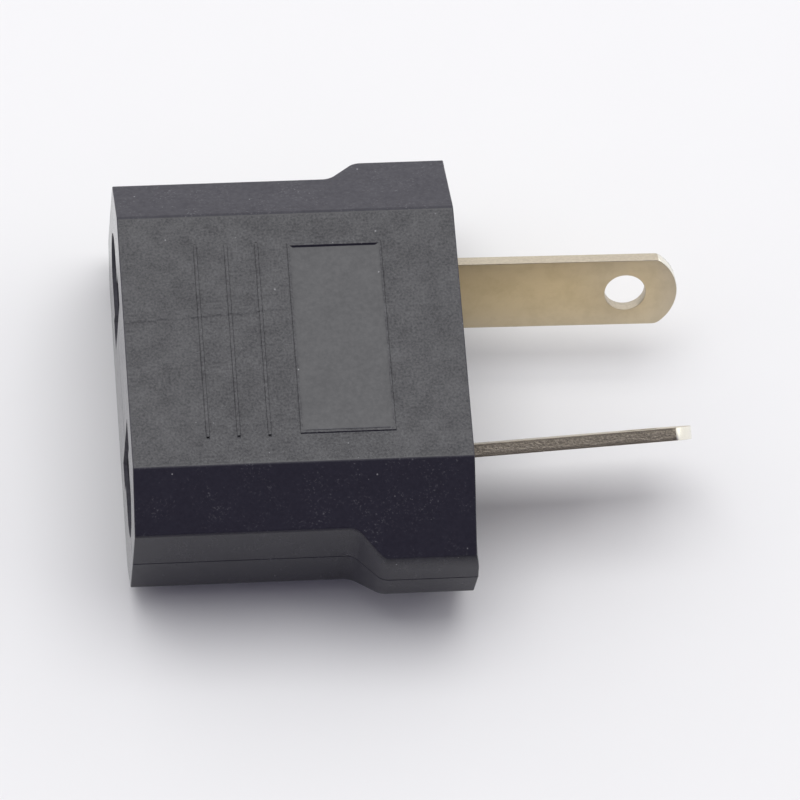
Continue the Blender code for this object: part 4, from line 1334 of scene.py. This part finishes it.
class BuildBlades(bpy.types.Operator):
    """Shape the two plug blades, with rolled faces, sheared edges and tips of burnish-polished brass whose
    pale tone is partly a painted highlight
    """

    bl_idname = "adapter.build_blades"
    bl_label = "Build blades"

    def execute(self, context):
        casing, socket, blade, contact, colours = shared_settings(context)
        root = LOWER_LOW.x + casing.body_length
        tip = root + blade.reach
        brass, stain = colours.blade_brass, colours.blade_stain
        # The blade faces carry painted shade near the flange, standing for the casing's shade and dark
        # reflection, and grow brighter towards the tips.
        face_metal = rolled_metal("blade face brass", brass, stain, BLADE_ROUGH, root_shade_span=(root, tip))
        # The tip metal is near white: burnish-polished brass with a painted highlight.
        tip_metal = even_metal("burnished tip brass", colours.burnished_highlight, **BURNISHED_HIGHLIGHT_TIP)
        for name, side in SIDES:
            piece = shape_blade(f"{name}_plug_blade", casing, socket, blade, contact, side)
            _, through = blade_axes(blade, side)
            if side > 0.0:
                edge_metal = sheared_metal("smooth sheared brass", colours, **SMOOTH_EDGE)
            else:
                # The right blade's edge is darkened with painted shade, most of all along its borders.
                pivot, turn = lean_of(casing, blade, socket, side)
                tear_and_shade = (pivot, turn @ through)
                edge_metal = sheared_metal("torn sheared brass", colours, tear_and_shade=tear_and_shade, **TEAR_AND_SHADE_EDGE)
            metals = {"face": face_metal, "edge": edge_metal, "tip": tip_metal}
            dress(piece, metals, lambda face: self.metal_of(face, through, tip - blade.burnish))
            seat(piece, CASING_BODY, f"{name}_blade")
        return {"FINISHED"}

    @staticmethod
    def metal_of(face, through, burnish_start):
        """Name of a face's metal: the two faces, the rounded tip, or the edges and the hole."""
        if abs(face.normal.dot(through)) > BLADE_FACE:
            return "face"
        return "tip" if face.center.x > burnish_start else "edge"


class BuildClips(bpy.types.Operator):
    """Shape the two bent contact clips"""

    bl_idname = "adapter.build_clips"
    bl_label = "Build contact clips"

    def execute(self, context):
        casing, socket, blade, contact, colours = shared_settings(context)
        metal = even_metal("clip brass", colours.clip_brass, **CLIP_STRIP)
        front, rear = clip_span(casing, contact)
        half_width = blade.tang_width / 2 + RIVET_GAP
        half_thickness = blade.thickness / 2 + RIVET_GAP
        tang_slot = rectangle(front - OVERCUT, rear + OVERCUT, -half_width, half_width)
        bore = contact.rivet_diameter + 2 * RIVET_GAP
        path = clip_path(casing, socket, contact)
        for name, side in SIDES:
            solid = strip(path, contact.clip_thickness, contact.clip_height, socket.contact_height, side)
            piece = add_object(f"{name}_clip_strip", solid)
            place = blade_place(blade, socket, side)
            slot = extrude_outline(tang_slot, -half_thickness, half_thickness, place)
            hole = rivet_bore(blade, socket, contact, side, bore, front - OVERCUT, rear + OVERCUT)
            carve(piece, [("DIFFERENCE", slot), ("DIFFERENCE", hole)])
            soften_metal(piece, contact.strip_edge)
            dress_evenly(piece, metal)
            seat(piece, CASING_BODY, f"{name}_contact_clip")
        return {"FINISHED"}


class BuildLeaves(bpy.types.Operator):
    """Shape the two sprung leaves between the jaws"""

    bl_idname = "adapter.build_leaves"
    bl_label = "Build spring leaves"

    def execute(self, context):
        casing, socket, blade, contact, colours = shared_settings(context)
        metal = even_metal("leaf bronze", colours.leaf_bronze, **LEAF_STRIP)
        foot = leaf_foot_run(casing, contact)
        low, high = foot - contact.leaf_thickness, foot + contact.leaf_thickness
        bore = contact.rivet_diameter + 2 * FIT_GAP
        path = leaf_path(casing, socket, blade, contact)
        for name, side in SIDES:
            solid = strip(path, contact.leaf_thickness, contact.leaf_height, socket.contact_height, side)
            piece = add_object(f"{name}_leaf_strip", solid)
            carve(piece, [("DIFFERENCE", rivet_bore(blade, socket, contact, side, bore, low, high))])
            soften_metal(piece, contact.strip_edge)
            dress_evenly(piece, metal)
            seat(piece, f"{name}_leaf", f"{name}_spring_leaf")
        return {"FINISHED"}


class BuildRivets(bpy.types.Operator):
    """Turn the two rivets that hold the leaves on the clips"""

    bl_idname = "adapter.build_rivets"
    bl_label = "Build rivets"

    def execute(self, context):
        casing, socket, blade, contact, colours = shared_settings(context)
        metal = even_metal("rivet brass", colours.rivet_brass, **RIVET_WIRE)
        for name, side in SIDES:
            piece = add_object(f"{name}_domed_rivet", turned_rivet(casing, socket, blade, contact, side))
            dress_evenly(piece, metal)
            seat(piece, CASING_BODY, f"{name}_leaf_rivet")
        return {"FINISHED"}


class BuildStage(bpy.types.Operator):
    """Lay the floor, hang the softbox and set up the camera"""

    bl_idname = "adapter.build_stage"
    bl_label = "Build stage"

    def execute(self, context):
        scene = context.scene
        stage = scene.adapter_stage
        self.lay_floor(stage, scene.adapter_finish.floor)
        self.hang_softbox(stage)
        self.set_room(scene, stage)
        self.set_camera(scene, stage)
        scene.view_settings.view_transform = "Standard"
        return {"FINISHED"}

    @staticmethod
    def lay_floor(stage, tone):
        """Flat pale floor just under the rest face."""
        solid = bmesh.new()
        bmesh.ops.create_grid(solid, x_segments=1, y_segments=1, size=stage.floor_size / 2)
        floor = add_object("floor", solid)
        floor.data.materials.append(floor_finish(tone))

    @staticmethod
    def hang_softbox(stage):
        """Wide softbox behind and above the part, turned towards it."""
        lamp = bpy.data.lights.new("softbox", "AREA")
        lamp.shape = "RECTANGLE"
        lamp.size = stage.softbox_width
        lamp.size_y = stage.softbox_height
        lamp.energy = stage.softbox_radiance * math.pi * lamp.size * lamp.size_y
        softbox = bpy.data.objects.new("softbox", lamp)
        tilt = stage.softbox_elevation
        softbox.location = stage.softbox_distance * Vector((0.0, math.cos(tilt), math.sin(tilt)))
        softbox.rotation_euler = (tilt - math.pi / 2, 0.0, 0.0)
        bpy.context.scene.collection.objects.link(softbox)

    @staticmethod
    def set_room(scene, stage):
        """Pale walls behind and beside the part, and a dim room in front of it."""
        world = bpy.data.worlds.new("room")
        world.use_nodes = True
        tree = world.node_tree
        axes = axes_of(tree, add_node(tree, "ShaderNodeTexCoord").outputs["Generated"])
        lengthwise = blend_colours(tree, remap(tree, axes["Y"], REAR_WALL_TURN), stage.front, stage.rear)
        beside = combine(tree, "MULTIPLY", axes["X"], axes["X"])
        sideways = combine(tree, "MULTIPLY", beside, remap(tree, axes["Y"], SIDE_WALL_TURN))
        light = blend_colours(tree, sideways, lengthwise, stage.sides)
        feed(tree, tree.nodes["Background"], {"Color": light})
        scene.world = world

    @staticmethod
    def set_camera(scene, stage):
        """Long lens at the photograph's viewing angle."""
        up_turn, side_turn = stage.elevation, stage.azimuth
        back = Vector((
            math.sin(side_turn) * math.cos(up_turn),
            -math.cos(side_turn) * math.cos(up_turn),
            math.sin(up_turn),
        ))
        level = Vector((math.cos(side_turn), math.sin(side_turn), 0.0))
        right = Matrix.Rotation(stage.roll, 3, back) @ level
        upright = back.cross(right)
        lens = bpy.data.cameras.new("camera")
        lens.lens = stage.lens
        camera = bpy.data.objects.new("camera", lens)
        turn = Matrix((right, upright, back)).transposed()
        place = Vector(stage.target) + stage.distance * back
        camera.matrix_world = Matrix.Translation(place) @ turn.to_4x4()
        scene.collection.objects.link(camera)
        scene.camera = camera


BUILD_STEPS = (BuildCasing, BuildBlades, BuildClips, BuildLeaves, BuildRivets, BuildStage)
SETTINGS = {
    "adapter_casing": CasingSettings,
    "adapter_top": TopSettings,
    "adapter_socket": SocketSettings,
    "adapter_blade": BladeSettings,
    "adapter_contact": ContactSettings,
    "adapter_finish": FinishSettings,
    "adapter_stage": StageSettings,
}


class AdapterPanel(bpy.types.Panel):
    """Pieces of the adapter with their sizes and colours"""

    bl_idname = "VIEW3D_PT_adapter"
    bl_label = "Travel plug adapter"
    bl_space_type = "VIEW_3D"
    bl_region_type = "UI"
    bl_category = "Adapter"

    def draw(self, context):
        for step in BUILD_STEPS:
            self.layout.operator(step.bl_idname)
        for name, group in SETTINGS.items():
            box = self.layout.box()
            box.label(text=group.__doc__)
            for key in group.__annotations__:
                box.prop(getattr(context.scene, name), key)


def register():
    """Add the settings, the operators and the panel."""
    for name, group in SETTINGS.items():
        bpy.utils.register_class(group)
        setattr(bpy.types.Scene, name, bpy.props.PointerProperty(type=group))
    for step in BUILD_STEPS:
        bpy.utils.register_class(step)
    bpy.utils.register_class(AdapterPanel)


def unregister():
    """Take away what register adds."""
    bpy.utils.unregister_class(AdapterPanel)
    for step in reversed(BUILD_STEPS):
        bpy.utils.unregister_class(step)
    for name, group in reversed(SETTINGS.items()):
        delattr(bpy.types.Scene, name)
        bpy.utils.unregister_class(group)


def main():
    """Register the add-on, then build every piece and the stage in order."""
    register()
    bpy.ops.adapter.build_casing()
    bpy.ops.adapter.build_blades()
    bpy.ops.adapter.build_clips()
    bpy.ops.adapter.build_leaves()
    bpy.ops.adapter.build_rivets()
    bpy.ops.adapter.build_stage()


if __name__ == "__main__":
    main()
